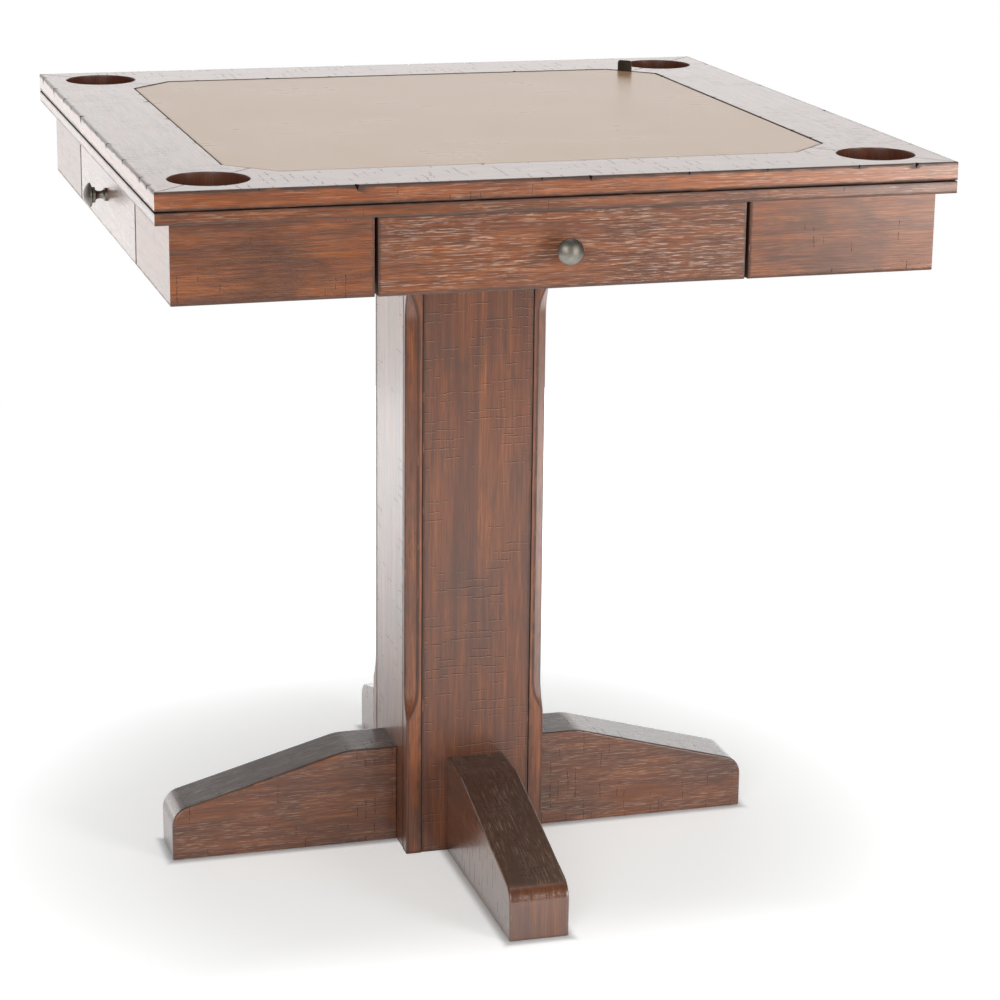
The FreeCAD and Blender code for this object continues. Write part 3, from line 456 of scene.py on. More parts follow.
class Finish:
    """What every finish has: a material made once under its own name."""

    name: str
    FACING = 0.72
    MIDDLE = (0.3, 0.7)

    def material(self) -> bpy.types.Material:
        """The finish's material, built at its first use.

        Returns:
            The material.
        """
        made = bpy.data.materials.get(self.name)
        if made is None or "maker_finish" not in made:
            made = bpy.data.materials.new(self.name)
            made["maker_finish"] = True
            made.use_nodes = True
            self.mix(NodeWeb(made.node_tree))
        return made

    def mix(self, web: NodeWeb) -> None:
        """Fills the material's empty tree."""
        raise NotImplementedError

    @classmethod
    def board_vectors(cls, web: NodeWeb, grain: Grain = Grain.ALONG_X, shift: Place = (0.0, 0.0, 0.0),
                      lean: Place = (0.0, 0.0, 0.0)) -> tuple[bpy.types.NodeSocket, bpy.types.NodeSocket]:
        """A board's own coordinates, grain along X and held flat in each face, and its normal turned alike.

        Args:
            web: the material's tree.
            grain: the axis of the grain.
            shift: where this board was cut from the plank.
            lean: how far the grain leans from its axis, in degrees.

        Returns:
            The sockets of the point and of the normal.
        """
        source = web.add("ShaderNodeTexCoord").outputs
        turn = tuple(math.radians(angle + extra) for angle, extra in zip(grain.value, lean))
        inputs = {"Vector": source["Object"], "Location": shift, "Rotation": turn}
        point = web.add("ShaderNodeMapping", inputs, vector_type="POINT").outputs[0]
        inputs = {"Vector": source["Normal"], "Rotation": turn}
        normal = web.add("ShaderNodeMapping", inputs, vector_type="VECTOR").outputs[0]
        facing = web.axes(web.vector("ABSOLUTE", normal))
        level, upright = (web.sum("LESS_THAN", axis, cls.FACING) for axis in facing[1:])
        return web.vector("MULTIPLY", point, web.joined(1.0, level, upright)), normal

    @staticmethod
    def surface(web: NodeWeb, inputs: dict[str, Value], height: Value, depth: float, strength: float) -> None:
        """Ends a material in its shader, over a bump.

        Args:
            web: the material's tree.
            inputs: values or sockets for the Principled shader.
            height: the bump's height.
            depth: how deep the bump is, in metres.
            strength: how strongly it shows.
        """
        bump = web.add("ShaderNodeBump", {"Strength": strength, "Distance": depth, "Height": height})
        shader = web.add("ShaderNodeBsdfPrincipled", {**inputs, "Normal": bump.outputs[0]})
        web.add("ShaderNodeOutputMaterial", {"Surface": shader.outputs[0]})


@dataclass(frozen=True)
class StainedWood(Finish):
    """Chestnut stain and dark glaze under a semi-gloss lacquer, wire-brushed and saw-marked."""

    STOPS = (0.30, 0.44, 0.58, 0.74)
    PORE_SPAN = (0.40, 0.62)
    PORE_SHARE = (0.55, 0.0)
    BRUSH_SHARE = 0.80
    RUBBED_SHARE = 0.55
    SAW_MATT = 0.5
    GLAZE_MATT = 0.2
    DULL_MATT = 0.5
    SHEEN = (0.27, 0.35)
    FIBRE_HEIGHT = 0.35
    SAW_HEIGHT = 1.2
    BUMP = 0.00045
    COAT_SPAN = (0.0, 0.3)
    COAT_SHARE = (0.7, 0.1)
    COAT_ROUGHNESS = 0.22
    SPECULAR = 0.5

    name: str
    grain: Grain
    shift: Place
    saw: float = 0.4
    brush: float = 0.5
    patch: float = 0.55
    light: float = 1.0
    staves: float = 0.0
    lean: Place = (0.0, 0.0, 0.0)
    edge: float = 0.8
    # How much the brushed ridges stand out: raised in the bump, and painted with a pale glint.
    flecks: float = 0.0
    wash: float = 0.0
    relief: float = 0.35
    gloss: float = 1.0
    cut: float = 0.9
    # How strong the painted highlight beside each saw cut is, and how far along the grain from the cut it
    # lies.
    lip: float = 0.0
    lip_drop: float = 1.1 * MM
    dark_stain: Colour = (0.098, 0.0275, 0.0100, 1.0)
    mid_stain: Colour = (0.168, 0.0460, 0.0120, 1.0)
    warm_stain: Colour = (0.252, 0.0750, 0.0175, 1.0)
    pale_stain: Colour = (0.332, 0.1130, 0.0290, 1.0)
    glaze: Colour = (0.054, 0.0235, 0.0150, 1.0)
    kerf: Colour = (0.018, 0.009, 0.007, 1.0)
    rubbed: Colour = (0.30, 0.125, 0.055, 1.0)
    # The pale colour of painted highlights: glints on the brushed ridges and the lips of the saw cuts.
    fleck: Colour = (0.60, 0.45, 0.355, 1.0)

    def tint(self, colour: Colour) -> Colour:
        """A stain's colour at this board's lightness."""
        return tuple(min(1.0, part * self.light) for part in colour[:3]) + (1.0,)

    def mix(self, web: NodeWeb) -> None:
        """Fills the material's tree.

        Args:
            web: the material's empty tree.
        """
        point, normal = self.board_vectors(web, self.grain, self.shift, self.lean)
        figure = web.group(Effects.figure(), {"Vector": point})
        marks = {"Vector": point, "Normal": normal, "Amount": self.saw}
        saw = web.group(Effects.saw(), marks)["Mask"]
        near = web.add("ShaderNodeAttribute", attribute_name=WEAR_LAYER).outputs["Fac"]
        edge = web.group(Effects.arris(), {"Vector": point, "Near": near})
        tone = figure["Streak"]
        if self.staves > 0.0:
            tone = web.plus(tone, web.span(figure["Stave"], 0.0, 1.0, -self.staves, self.staves))
        stains = (self.dark_stain, self.mid_stain, self.warm_stain, self.pale_stain)
        body = web.ramp(tone, self.STOPS, [self.tint(stain) for stain in stains])
        pores = web.span(figure["Fibre"], *self.PORE_SPAN, *self.PORE_SHARE)
        body = web.blend(pores, body, self.tint(self.dark_stain))
        body = web.blend(web.times(figure["Patch"], self.patch), body, self.glaze)
        body = web.blend(self.wash, body, self.glaze)
        body = web.blend(web.times(figure["Brush"], self.BRUSH_SHARE * self.brush), body, self.glaze)
        # Painted highlight: pale glints painted along the brushed ridges.
        body = web.blend(web.times(figure["Fleck"], self.flecks), body, self.fleck)
        # Painted highlight: a pale line just beside each saw cut, on its lip.
        if self.lip > 0.0:
            marks["Vector"] = web.vector("ADD", point, (self.lip_drop, 0.0, 0.0))
            lip = web.group(Effects.saw(), marks)["Mask"]
            body = web.blend(web.times(lip, self.lip), body, self.fleck)
        body = web.blend(web.times(saw, self.cut), body, self.kerf)
        body = web.blend(web.times(edge["Glaze"], self.edge), body, self.glaze)
        body = web.blend(web.times(edge["Rubbed"], self.RUBBED_SHARE), body, self.rubbed)
        matt = web.plus(web.times(saw, self.SAW_MATT), web.times(edge["Glaze"], self.GLAZE_MATT * self.edge))
        matt = web.plus(matt, self.DULL_MATT * (1.0 - self.gloss))
        rough = web.plus(web.span(figure["Fibre"], *self.MIDDLE, *self.SHEEN), matt)
        fibres = web.times(figure["Fibre"], self.FIBRE_HEIGHT)
        height = web.plus(fibres, web.times(figure["Fleck"], self.flecks))
        height = web.less(height, web.times(figure["Brush"], self.brush))
        height = web.less(height, web.times(saw, self.SAW_HEIGHT))
        coat = web.span(matt, *self.COAT_SPAN, *(share * self.gloss for share in self.COAT_SHARE))
        inputs = {"Base Color": body, "Roughness": rough, "Coat Weight": coat,
                  "Coat Roughness": self.COAT_ROUGHNESS, "Specular IOR Level": self.SPECULAR * self.gloss}
        self.surface(web, inputs, height, self.BUMP, self.relief)


def stained(name: str, side: Side, grain: Grain, plank: Place,
            **settings: float | Place | Colour) -> StainedWood:
    """A stain for one side's boards, which are cut from a place of their own in the plank.

    Args:
        name: the stain's name.
        side: the side.
        grain: the axis of the grain.
        plank: where the front's board is cut.
        settings: the stain's other fields.

    Returns:
        The stain.
    """
    start, across, deep = plank
    return StainedWood(name, grain, (start + side.value * PLANK_STEP, across, deep), **settings)


@dataclass(frozen=True)
class PaleWood(Finish):
    """Bare pale hardwood of the hidden frame and the drawer boxes."""

    STOPS = (0.32, 0.52, 0.7)
    PORE_SPAN = (0.4, 0.6)
    PORE_SHARE = (0.4, 0.0)
    SHEEN = (0.48, 0.62)
    BUMP = 0.0002
    RELIEF = 0.5

    name: str
    grain: Grain
    shift: Place
    shade: Colour = (0.36, 0.22, 0.115, 1.0)
    body: Colour = (0.50, 0.335, 0.19, 1.0)
    bright: Colour = (0.60, 0.43, 0.265, 1.0)

    def mix(self, web: NodeWeb) -> None:
        """Fills the material's tree.

        Args:
            web: the material's empty tree.
        """
        point, _ = self.board_vectors(web, self.grain, self.shift)
        figure = web.group(Effects.figure(), {"Vector": point})
        body = web.ramp(figure["Streak"], self.STOPS, (self.shade, self.body, self.bright))
        pores = web.span(figure["Fibre"], *self.PORE_SPAN, *self.PORE_SHARE)
        body = web.blend(pores, body, self.shade)
        rough = web.span(figure["Fibre"], *self.MIDDLE, *self.SHEEN)
        self.surface(web, {"Base Color": body, "Roughness": rough}, figure["Fibre"], self.BUMP, self.RELIEF)


@dataclass(frozen=True)
class Plywood(Finish):
    """Plywood: a pale rotary-cut face, and plies that show at its edges."""

    PLANK = (0.31, 0.17, 0.0)
    ROTARY = (1.0, 0.35, 0.35)
    STOPS = (0.34, 0.6)
    PLY_SPAN = (0.42, 0.58)
    EDGE_TILT = 0.5
    SHEEN = (0.5, 0.65)
    BUMP = 0.0002
    RELIEF = 0.5

    name: str
    ply: float = 0.0024
    face: Colour = (0.50, 0.345, 0.20, 1.0)
    shade: Colour = (0.335, 0.205, 0.11, 1.0)
    core: Colour = (0.19, 0.105, 0.055, 1.0)

    def mix(self, web: NodeWeb) -> None:
        """Fills the material's tree.

        Args:
            web: the material's empty tree.
        """
        point, normal = self.board_vectors(web, shift=self.PLANK)
        figure = web.group(Effects.figure(), {"Vector": web.vector("MULTIPLY", point, self.ROTARY)})
        body = web.ramp(figure["Streak"], self.STOPS, (self.shade, self.face))
        layer = web.sum("PINGPONG", web.axes(point)[2], self.ply)
        plies = web.span(layer, *(share * self.ply for share in self.PLY_SPAN))
        upright = web.sum("ABSOLUTE", web.axes(normal)[2])
        edge = web.sum("LESS_THAN", upright, self.EDGE_TILT)
        body = web.blend(web.times(edge, plies), body, self.core)
        rough = web.span(figure["Fibre"], *self.MIDDLE, *self.SHEEN)
        self.surface(web, {"Base Color": body, "Roughness": rough}, figure["Fibre"], self.BUMP, self.RELIEF)


@dataclass(frozen=True)
class PlayingLeather(Finish):
    """Satin tan leather of the playing surface, with a fine pebble and faint drawn streaks."""

    SIZE = 7.0
    DRAWN = Cloud(4.0, 75.0, 4.0, 0.6, 0.2)
    SHARES = (0.55, 0.45)
    STOPS = (0.34, 0.5, 0.66)
    EDGE_SHARE = 0.5
    PEBBLE = 520.0
    PEBBLE_SPAN = (0.1, 0.7)
    DRAWN_HEIGHT = 0.15
    SHEEN = (0.27, 0.30)
    BUMP = 0.0002
    RELIEF = 0.14

    name: str = "playing_leather_tan"
    deep: Colour = (0.600, 0.362, 0.196, 1.0)
    body: Colour = (0.635, 0.386, 0.212, 1.0)
    bright: Colour = (0.670, 0.412, 0.230, 1.0)

    def mix(self, web: NodeWeb) -> None:
        """Fills the material's tree.

        Args:
            web: the material's empty tree.
        """
        point, _ = self.board_vectors(web)
        clouds = web.group(Effects.mottle(), {"Vector": point, "Size": self.SIZE})
        drawn = web.cloud(point, self.DRAWN)
        parts = zip((clouds["Cloud"], drawn), self.SHARES)
        tone = web.plus(*(web.times(part, share) for part, share in parts))
        body = web.ramp(tone, self.STOPS, (self.deep, self.body, self.bright))
        near = web.add("ShaderNodeAttribute", attribute_name=WEAR_LAYER).outputs["Fac"]
        body = web.blend(web.times(near, self.EDGE_SHARE), body, self.deep)
        cells = web.add("ShaderNodeTexVoronoi", {"Vector": point, "Scale": self.PEBBLE}).outputs["Distance"]
        height = web.plus(web.fade(cells, *self.PEBBLE_SPAN), web.times(drawn, self.DRAWN_HEIGHT))
        rough = web.span(tone, *self.MIDDLE, *self.SHEEN)
        self.surface(web, {"Base Color": body, "Roughness": rough}, height, self.BUMP, self.RELIEF)


@dataclass(frozen=True)
class StrapLeather(Finish):
    """Dark strap leather of the pull tab."""

    SIZE = 90.0
    STOPS = (0.35, 0.65)
    SHEEN = (0.42, 0.58)
    BUMP = 0.0003
    RELIEF = 0.5

    name: str = "strap_leather_dark"
    deep: Colour = (0.030, 0.022, 0.016, 1.0)
    body: Colour = (0.066, 0.048, 0.035, 1.0)

    def mix(self, web: NodeWeb) -> None:
        """Fills the material's tree.

        Args:
            web: the material's empty tree.
        """
        point, _ = self.board_vectors(web)
        clouds = web.group(Effects.mottle(), {"Vector": point, "Size": self.SIZE})
        body = web.ramp(clouds["Cloud"], self.STOPS, (self.deep, self.body))
        rough = web.span(clouds["Speck"], 0.0, 1.0, *self.SHEEN)
        self.surface(web, {"Base Color": body, "Roughness": rough}, clouds["Cloud"], self.BUMP, self.RELIEF)


@dataclass(frozen=True)
class Metal(Finish):
    """Cast or plated metal with a darker patina in its mottling."""

    STOPS = (0.36, 0.62)
    BUMP = 0.00008
    RELIEF = 0.3

    name: str
    bright: Colour
    patina: Colour
    smooth: float
    dull: float
    size: float = 180.0

    def mix(self, web: NodeWeb) -> None:
        """Fills the material's tree.

        Args:
            web: the material's empty tree.
        """
        point, _ = self.board_vectors(web)
        clouds = web.group(Effects.mottle(), {"Vector": point, "Size": self.size})
        body = web.ramp(clouds["Cloud"], self.STOPS, (self.patina, self.bright))
        rough = web.span(clouds["Cloud"], *self.MIDDLE, self.dull, self.smooth)
        inputs = {"Base Color": body, "Roughness": rough, "Metallic": 1.0}
        self.surface(web, inputs, clouds["Speck"], self.BUMP, self.RELIEF)


@dataclass(frozen=True)
class GlidePlastic(Finish):
    """Dark moulded plastic of the floor glides, scuffed dull."""

    SIZE = 240.0
    SCUFFS = 0.6
    SHEEN = (0.42, 0.6)
    BUMP = 0.0002
    RELIEF = 0.3

    name: str = "glide_plastic_dark"
    deep: Colour = (0.018, 0.017, 0.016, 1.0)
    scuffed: Colour = (0.060, 0.057, 0.053, 1.0)

    def mix(self, web: NodeWeb) -> None:
        """Fills the material's tree.

        Args:
            web: the material's empty tree.
        """
        point, _ = self.board_vectors(web)
        clouds = web.group(Effects.mottle(), {"Vector": point, "Size": self.SIZE})
        body = web.blend(web.times(clouds["Speck"], self.SCUFFS), self.deep, self.scuffed)
        rough = web.span(clouds["Cloud"], *self.MIDDLE, *self.SHEEN)
        self.surface(web, {"Base Color": body, "Roughness": rough}, clouds["Cloud"], self.BUMP, self.RELIEF)


@dataclass(frozen=True)
class Corner:
    """A corner of a board's outline, and the finish of the edge that leaves it."""

    across: float
    up: float
    edge: Edge = Edge.WORN
    radius: float = 0.0
    stepped: bool = False


@dataclass(frozen=True)
class CornerMark:
    """A point at an outline's corner, which slides along the mitre as the outline shrinks."""

    start: Vector
    corner: Vector
    push: Vector
    radius: float = 0.0
    wear: float = 0.0
    stepped: bool = False

    def at(self, inset: float) -> Vector:
        """Where the point is when the outline has shrunk.

        Args:
            inset: how far it has shrunk.

        Returns:
            The point in the outline's plane.
        """
        if inset < self.radius:
            return self.start.lerp(self.corner + self.push * self.radius, inset / self.radius)
        return self.corner + self.push * inset


@dataclass(frozen=True)
class EdgeMark:
    """A point along an outline's edge, which stops at the mitres of the edge's two corners."""

    start: Vector
    along: Vector
    inward: Vector
    place: float
    length: float
    start_pull: float
    end_pull: float
    wear: float = 0.0
    stepped: bool = False

    def at(self, inset: float) -> Vector:
        """Where the point is when the outline has shrunk.

        Args:
            inset: how far it has shrunk.

        Returns:
            The point in the outline's plane.
        """
        place = min(max(self.place, self.start_pull * inset), self.length + self.end_pull * inset)
        return self.start + self.along * place + self.inward * inset


@dataclass(frozen=True)
class Ring:
    """One turn of a board's outline: how far in, how high, and how worn."""

    inset: float
    level: float
    wear: float = 0.0
    wall: bool = True
    step: float = 0.0


class Outline:
    """A board's outline, laid out in points that carry its rounding and wear."""

    ARC_STEPS = 3
    PARALLEL = 1e-4
    BAND_SHARE = 0.45
    CLEARANCE = 1.6
    BAND = (2.2 * MM, 5.0 * MM)
    BAND_WEAR = (0.55, 0.0)

    def __init__(self, corners: Sequence[Corner], spacing: float = 22 * MM) -> None:
        """Lays the outline out.

        Args:
            corners: the corners, anticlockwise.
            spacing: the longest run between two points.
        """
        self.marks: list[CornerMark | EdgeMark] = []
        places = [Vector((corner.across, corner.up)) for corner in corners]
        count = len(corners)
        ways = [(places[(k + 1) % count] - places[k]).normalized() for k in range(count)]
        pushes = [self._push(ways[k - 1], ways[k], corners[k - 1].edge.value, corners[k].edge.value)
                  for k in range(count)]
        for k, corner in enumerate(corners):
            after = (k + 1) % count
            self._turn(corner, places[k], ways[k - 1], ways[k], pushes[k])
            length = (places[after] - places[k]).length
            inward = Vector((-ways[k].y, ways[k].x)) * corner.edge.value
            pulls = pushes[k].dot(ways[k]), pushes[after].dot(ways[k])
            for place, wear in self._places(corner, corners[after], length, spacing):
                self.marks.append(EdgeMark(places[k], ways[k], inward, place, length, *pulls, wear))

    @staticmethod
    def _push(before: Vector, after: Vector, before_share: float, after_share: float) -> Vector:
        """How a corner moves when the outline shrinks by one unit.

        Args:
            before: direction of the edge that comes in.
            after: direction of the edge that goes out.
            before_share: share of the rounding on the first edge.
            after_share: share on the second.

        Returns:
            The move.
        """
        first, second = Vector((-before.y, before.x)), Vector((-after.y, after.x))
        cross = first.x * second.y - first.y * second.x
        if abs(cross) < Outline.PARALLEL:
            return first * ((before_share + after_share) / 2)
        return Vector(((before_share * second.y - after_share * first.y) / cross,
                       (first.x * after_share - second.x * before_share) / cross))

    def _turn(self, corner: Corner, here: Vector, before: Vector, after: Vector, push: Vector) -> None:
        """Adds the points of one corner.

        Args:
            corner: the corner.
            here: its place.
            before: direction of the edge that comes in.
            after: direction of the edge that goes out.
            push: how the corner moves as the outline shrinks.
        """
        if corner.radius <= 0.0:
            self.marks.append(CornerMark(here, here, push, 0.0, 0.0, corner.stepped))
            return
        half = (-before).angle(after) / 2
        reach = corner.radius / math.tan(half)
        middle = here + (after - before).normalized() * (corner.radius / math.sin(half))
        first, last = here - before * reach - middle, here + after * reach - middle
        for step in range(self.ARC_STEPS + 1):
            ray = first.lerp(last, step / self.ARC_STEPS).normalized() * corner.radius
            self.marks.append(CornerMark(middle + ray, here, push, corner.radius, 1.0, corner.stepped))

    def _places(self, corner: Corner, after: Corner, length: float,
                spacing: float) -> list[tuple[float, float]]:
        """Where along an edge it has points.

        Args:
            corner: the corner that the edge leaves.
            after: the corner that it runs to.
            length: the edge's length.
            spacing: the longest run between two points.

        Returns:
            The places, each with its wear.
        """
        places: dict[float, float] = {}
        for reach, wear in zip(self.BAND, self.BAND_WEAR):
            if corner.radius > 0.0 and corner.radius + reach < length * self.BAND_SHARE:
                places[corner.radius + reach] = wear
            if after.radius > 0.0 and after.radius + reach < length * self.BAND_SHARE:
                places[length - after.radius - reach] = wear
        steps = max(1, math.ceil(length / spacing))
        clear = self.BAND[1] * self.CLEARANCE
        for step in range(1, steps):
            place = length * step / steps
            if all(abs(place - known) > clear for known in (0.0, length, *places)):
                places[place] = 0.0
        return sorted(places.items())


def rectangle(half: float, low: float, high: float, radius: float = 0.0) -> Outline:
    """The outline of an upright board about the middle."""
    places = ((-half, low), (half, low), (half, high), (-half, high))
    return Outline([Corner(across, up, radius=radius) for across, up in places])


def slot_rings(level: float, gap: float, depth: float, rounding: float) -> list[Ring]:
    """The rings of a slot along a seam, from its back to the arris; a negative gap opens it downwards."""
    return [Ring(depth + SLOT_BACK, level, 1.0, False), Ring(depth, level, 1.0, False),
            Ring(depth, level + gap, 1.0, False), Ring(rounding, level + gap, 1.0)]


def rounded_rings(low: float, high: float, low_round: float, high_round: float,
                  turns: int = 3) -> list[Ring]:
    """The rings of a board with its two faces' arrises rounded.

    Args:
        low: level of the lower face.
        high: level of the upper face.
        low_round: rounding of the lower arris.
        high_round: rounding of the upper arris.
        turns: steps in each rounding.

    Returns:
        The rings from the middle of the lower face to the middle of the upper one.
    """
    near, far = Outline.BAND
    faint, clean = Outline.BAND_WEAR
    room = (high - low - low_round - high_round) / 2
    near_wall, far_wall = min(near, room * NEAR_ROOM), min(far, room * FAR_ROOM)
    angles = [math.pi / 2 * step / turns for step in range(turns + 1)]
    rings = [Ring(low_round + far, low, clean, False), Ring(low_round + near, low, faint, False)]
    rings += [Ring(low_round * (1 - math.sin(a)), low + low_round * (1 - math.cos(a)), 1.0) for a in angles]
    rings += [Ring(0.0, low + low_round + near_wall, faint), Ring(0.0, low + low_round + far_wall, clean)]
    rings += [Ring(0.0, high - high_round - far_wall, clean), Ring(0.0, high - high_round - near_wall, faint)]
    angles.reverse()
    rings += [Ring(high_round * (1 - math.sin(a)), high - high_round * (1 - math.cos(a)), 1.0)
              for a in angles]
    rings += [Ring(high_round + near, high, faint, False), Ring(high_round + far, high, clean, False)]
    return rings


def linked(name: str, data: bpy.types.ID) -> bpy.types.Object:
    """Puts a mesh, a light or a camera into the scene.

    Args:
        name: the object's name.
        data: what it shows.

    Returns:
        The new object.
    """
    thing = bpy.data.objects.new(name, data)
    bpy.context.scene.collection.objects.link(thing)
    return thing


def evaluated(thing: bpy.types.Object) -> bpy.types.Mesh:
    """A plain mesh of an object with its modifiers done."""
    return bpy.data.meshes.new_from_object(thing.evaluated_get(bpy.context.evaluated_depsgraph_get()))


@dataclass(frozen=True)
class NickRun:
    """A straight arris that has nicks, and which way it faces."""

    start: Vector
    end: Vector
    outward: Vector
    count: int

    def turned(self, turn: Matrix) -> "NickRun":
        """The same arris on another side of the table."""
        return NickRun(turn @ self.start, turn @ self.end, turn.to_3x3() @ self.outward, self.count)


class NickCutters:
    """A Geometry Nodes tree that sets small wedges along an arris, for nicks to be cut with."""

    WIDTH = 5.6 * MM
    STRAY = 0.42
    SINK = 0.22
    LIFT = 0.30
    SKEW = 0.5
    SIZES = (0.55, 1.15)
    SINK_SEED = 5
    SKEW_SEED = 9
    SIZE_SEED = 3
    WEDGE_SIDES = 3
    WEDGE_LENGTH = 0.012
    WEDGE_TURN = (math.pi / 2, math.pi / 2, 0.0)

    def __init__(self) -> None:
        """Builds the tree."""
        web = NodeWeb(bpy.data.node_groups.new("arris_nicks", "GeometryNodeTree"))
        self.tree = web.tree
        kinds = {"Arris": Socket.MESH, "Count": Socket.WHOLE, "Seed": Socket.WHOLE, "Outward": Socket.VECTOR,
                 "Width": Socket.NUMBER, "Stray": Socket.NUMBER, "Finish": Socket.MATERIAL}
        self.sockets = {label: web.socket(label, "INPUT", kind).identifier for label, kind in kinds.items()}
        web.socket("Wedges", "OUTPUT", Socket.MESH)
        inlet, outlet = web.add("NodeGroupInput").outputs, web.add("NodeGroupOutput")
        seed, width, outward = inlet["Seed"], inlet["Width"], inlet["Outward"]
        curve = web.add("GeometryNodeMeshToCurve", {"Mesh": inlet["Arris"]}).outputs["Curve"]
        inputs = {"Curve": curve, "Count": inlet["Count"]}
        points = web.add("GeometryNodeResampleCurve", inputs).outputs["Curve"]
        tangent = web.add("GeometryNodeInputTangent").outputs[0]
        slide = self._random(web, seed, web.times(inlet["Stray"], -1.0), inlet["Stray"])
        sink = self._random(web, web.sum_int(seed, self.SINK_SEED), web.times(width, -1.0), width)
        along = web.scaled(tangent, slide)
        out = web.scaled(outward, web.times(sink, self.SINK))
        lift = web.scaled(outward, web.times(width, self.LIFT))
        move = web.vector("ADD", web.vector("ADD", along, out), lift)
        placed = web.add("GeometryNodeSetPosition", {"Geometry": points, "Offset": move}).outputs[0]
        facing = web.add("FunctionNodeAlignRotationToVector", {"Vector": tangent}, axis="X").outputs[0]
        facing = web.add("FunctionNodeAlignRotationToVector", {"Rotation": facing, "Vector": outward},
                         axis="Z", pivot_axis="X").outputs[0]
        skew = self._random(web, web.sum_int(seed, self.SKEW_SEED), -self.SKEW, self.SKEW)
        turn = web.add("FunctionNodeEulerToRotation", {0: web.joined(z=skew)}).outputs[0]
        twist = web.add("FunctionNodeRotateRotation", {0: facing, 1: turn}, rotation_space="LOCAL").outputs[0]
        inputs = {"Vertices": self.WEDGE_SIDES, "Radius": width, "Depth": self.WEDGE_LENGTH}
        wedge = web.add("GeometryNodeMeshCylinder", inputs).outputs["Mesh"]
        wedge = web.add("GeometryNodeTransform", {"Geometry": wedge, "Rotation": self.WEDGE_TURN}).outputs[0]
        size = self._random(web, web.sum_int(seed, self.SIZE_SEED), *self.SIZES)
        inputs = {"Points": placed, "Instance": wedge, "Rotation": twist, "Scale": size}
        spread = web.add("GeometryNodeInstanceOnPoints", inputs).outputs[0]
        real = web.add("GeometryNodeRealizeInstances", {"Geometry": spread}).outputs[0]
        inputs = {"Geometry": real, "Material": inlet["Finish"]}
        web.feed(outlet, {0: web.add("GeometryNodeSetMaterial", inputs).outputs[0]})

    @staticmethod
    def _random(web: NodeWeb, seed: Value, low: Value, high: Value) -> bpy.types.NodeSocket:
        """A random number between two others, which a Random Value node takes at places 2 and 3."""
        inputs = {2: low, 3: high, "Seed": seed}
        return web.add("FunctionNodeRandomValue", inputs, data_type="FLOAT").outputs[1]

    def cutters(self, run: NickRun, seed: int) -> bpy.types.Object:
        """The wedges along one arris, as a plain mesh.

        Args:
            run: the arris.
            seed: the seed of their places.

        Returns:
            The object that holds them.
        """
        line = bpy.data.meshes.new("arris_line")
        line.from_pydata([run.start, run.end], [(0, 1)], [])
        holder = linked("arris_line", line)
        nodes = holder.modifiers.new("nicks", "NODES")
        nodes.node_group = self.tree
        stray = (run.end - run.start).length / run.count * self.STRAY
        values = {"Count": run.count, "Seed": seed, "Outward": run.outward, "Width": self.WIDTH,
                  "Stray": stray}
        for label, value in values.items():
            nodes[self.sockets[label]] = value
        made = evaluated(holder)
        holder.modifiers.remove(nodes)
        bpy.data.objects.remove(holder)
        return linked("nick_wedges", made)


@dataclass(frozen=True)
class Zone:
    """A part of a piece that has a finish of its own."""

    finish: Finish
    holds: Callable[[bmesh.types.BMFace], bool]


def looks_up(face: bmesh.types.BMFace) -> bool:
    """Whether a face looks up."""
    return face.normal.z > FACES_UP


def sawn_ends(side: Side) -> Zone:
    """The sawn ends of the boards on one side of the table, in the gaps beside the drawer; their near-black
    stain is end grain and painted shade of the gaps.
    """
    along = side.turn().to_3x3() @ Vector((1.0, 0.0, 0.0))
    return Zone(END_GRAIN_AND_GAP_SHADE, lambda face: abs(face.normal.dot(along)) > FACES_ALONG)


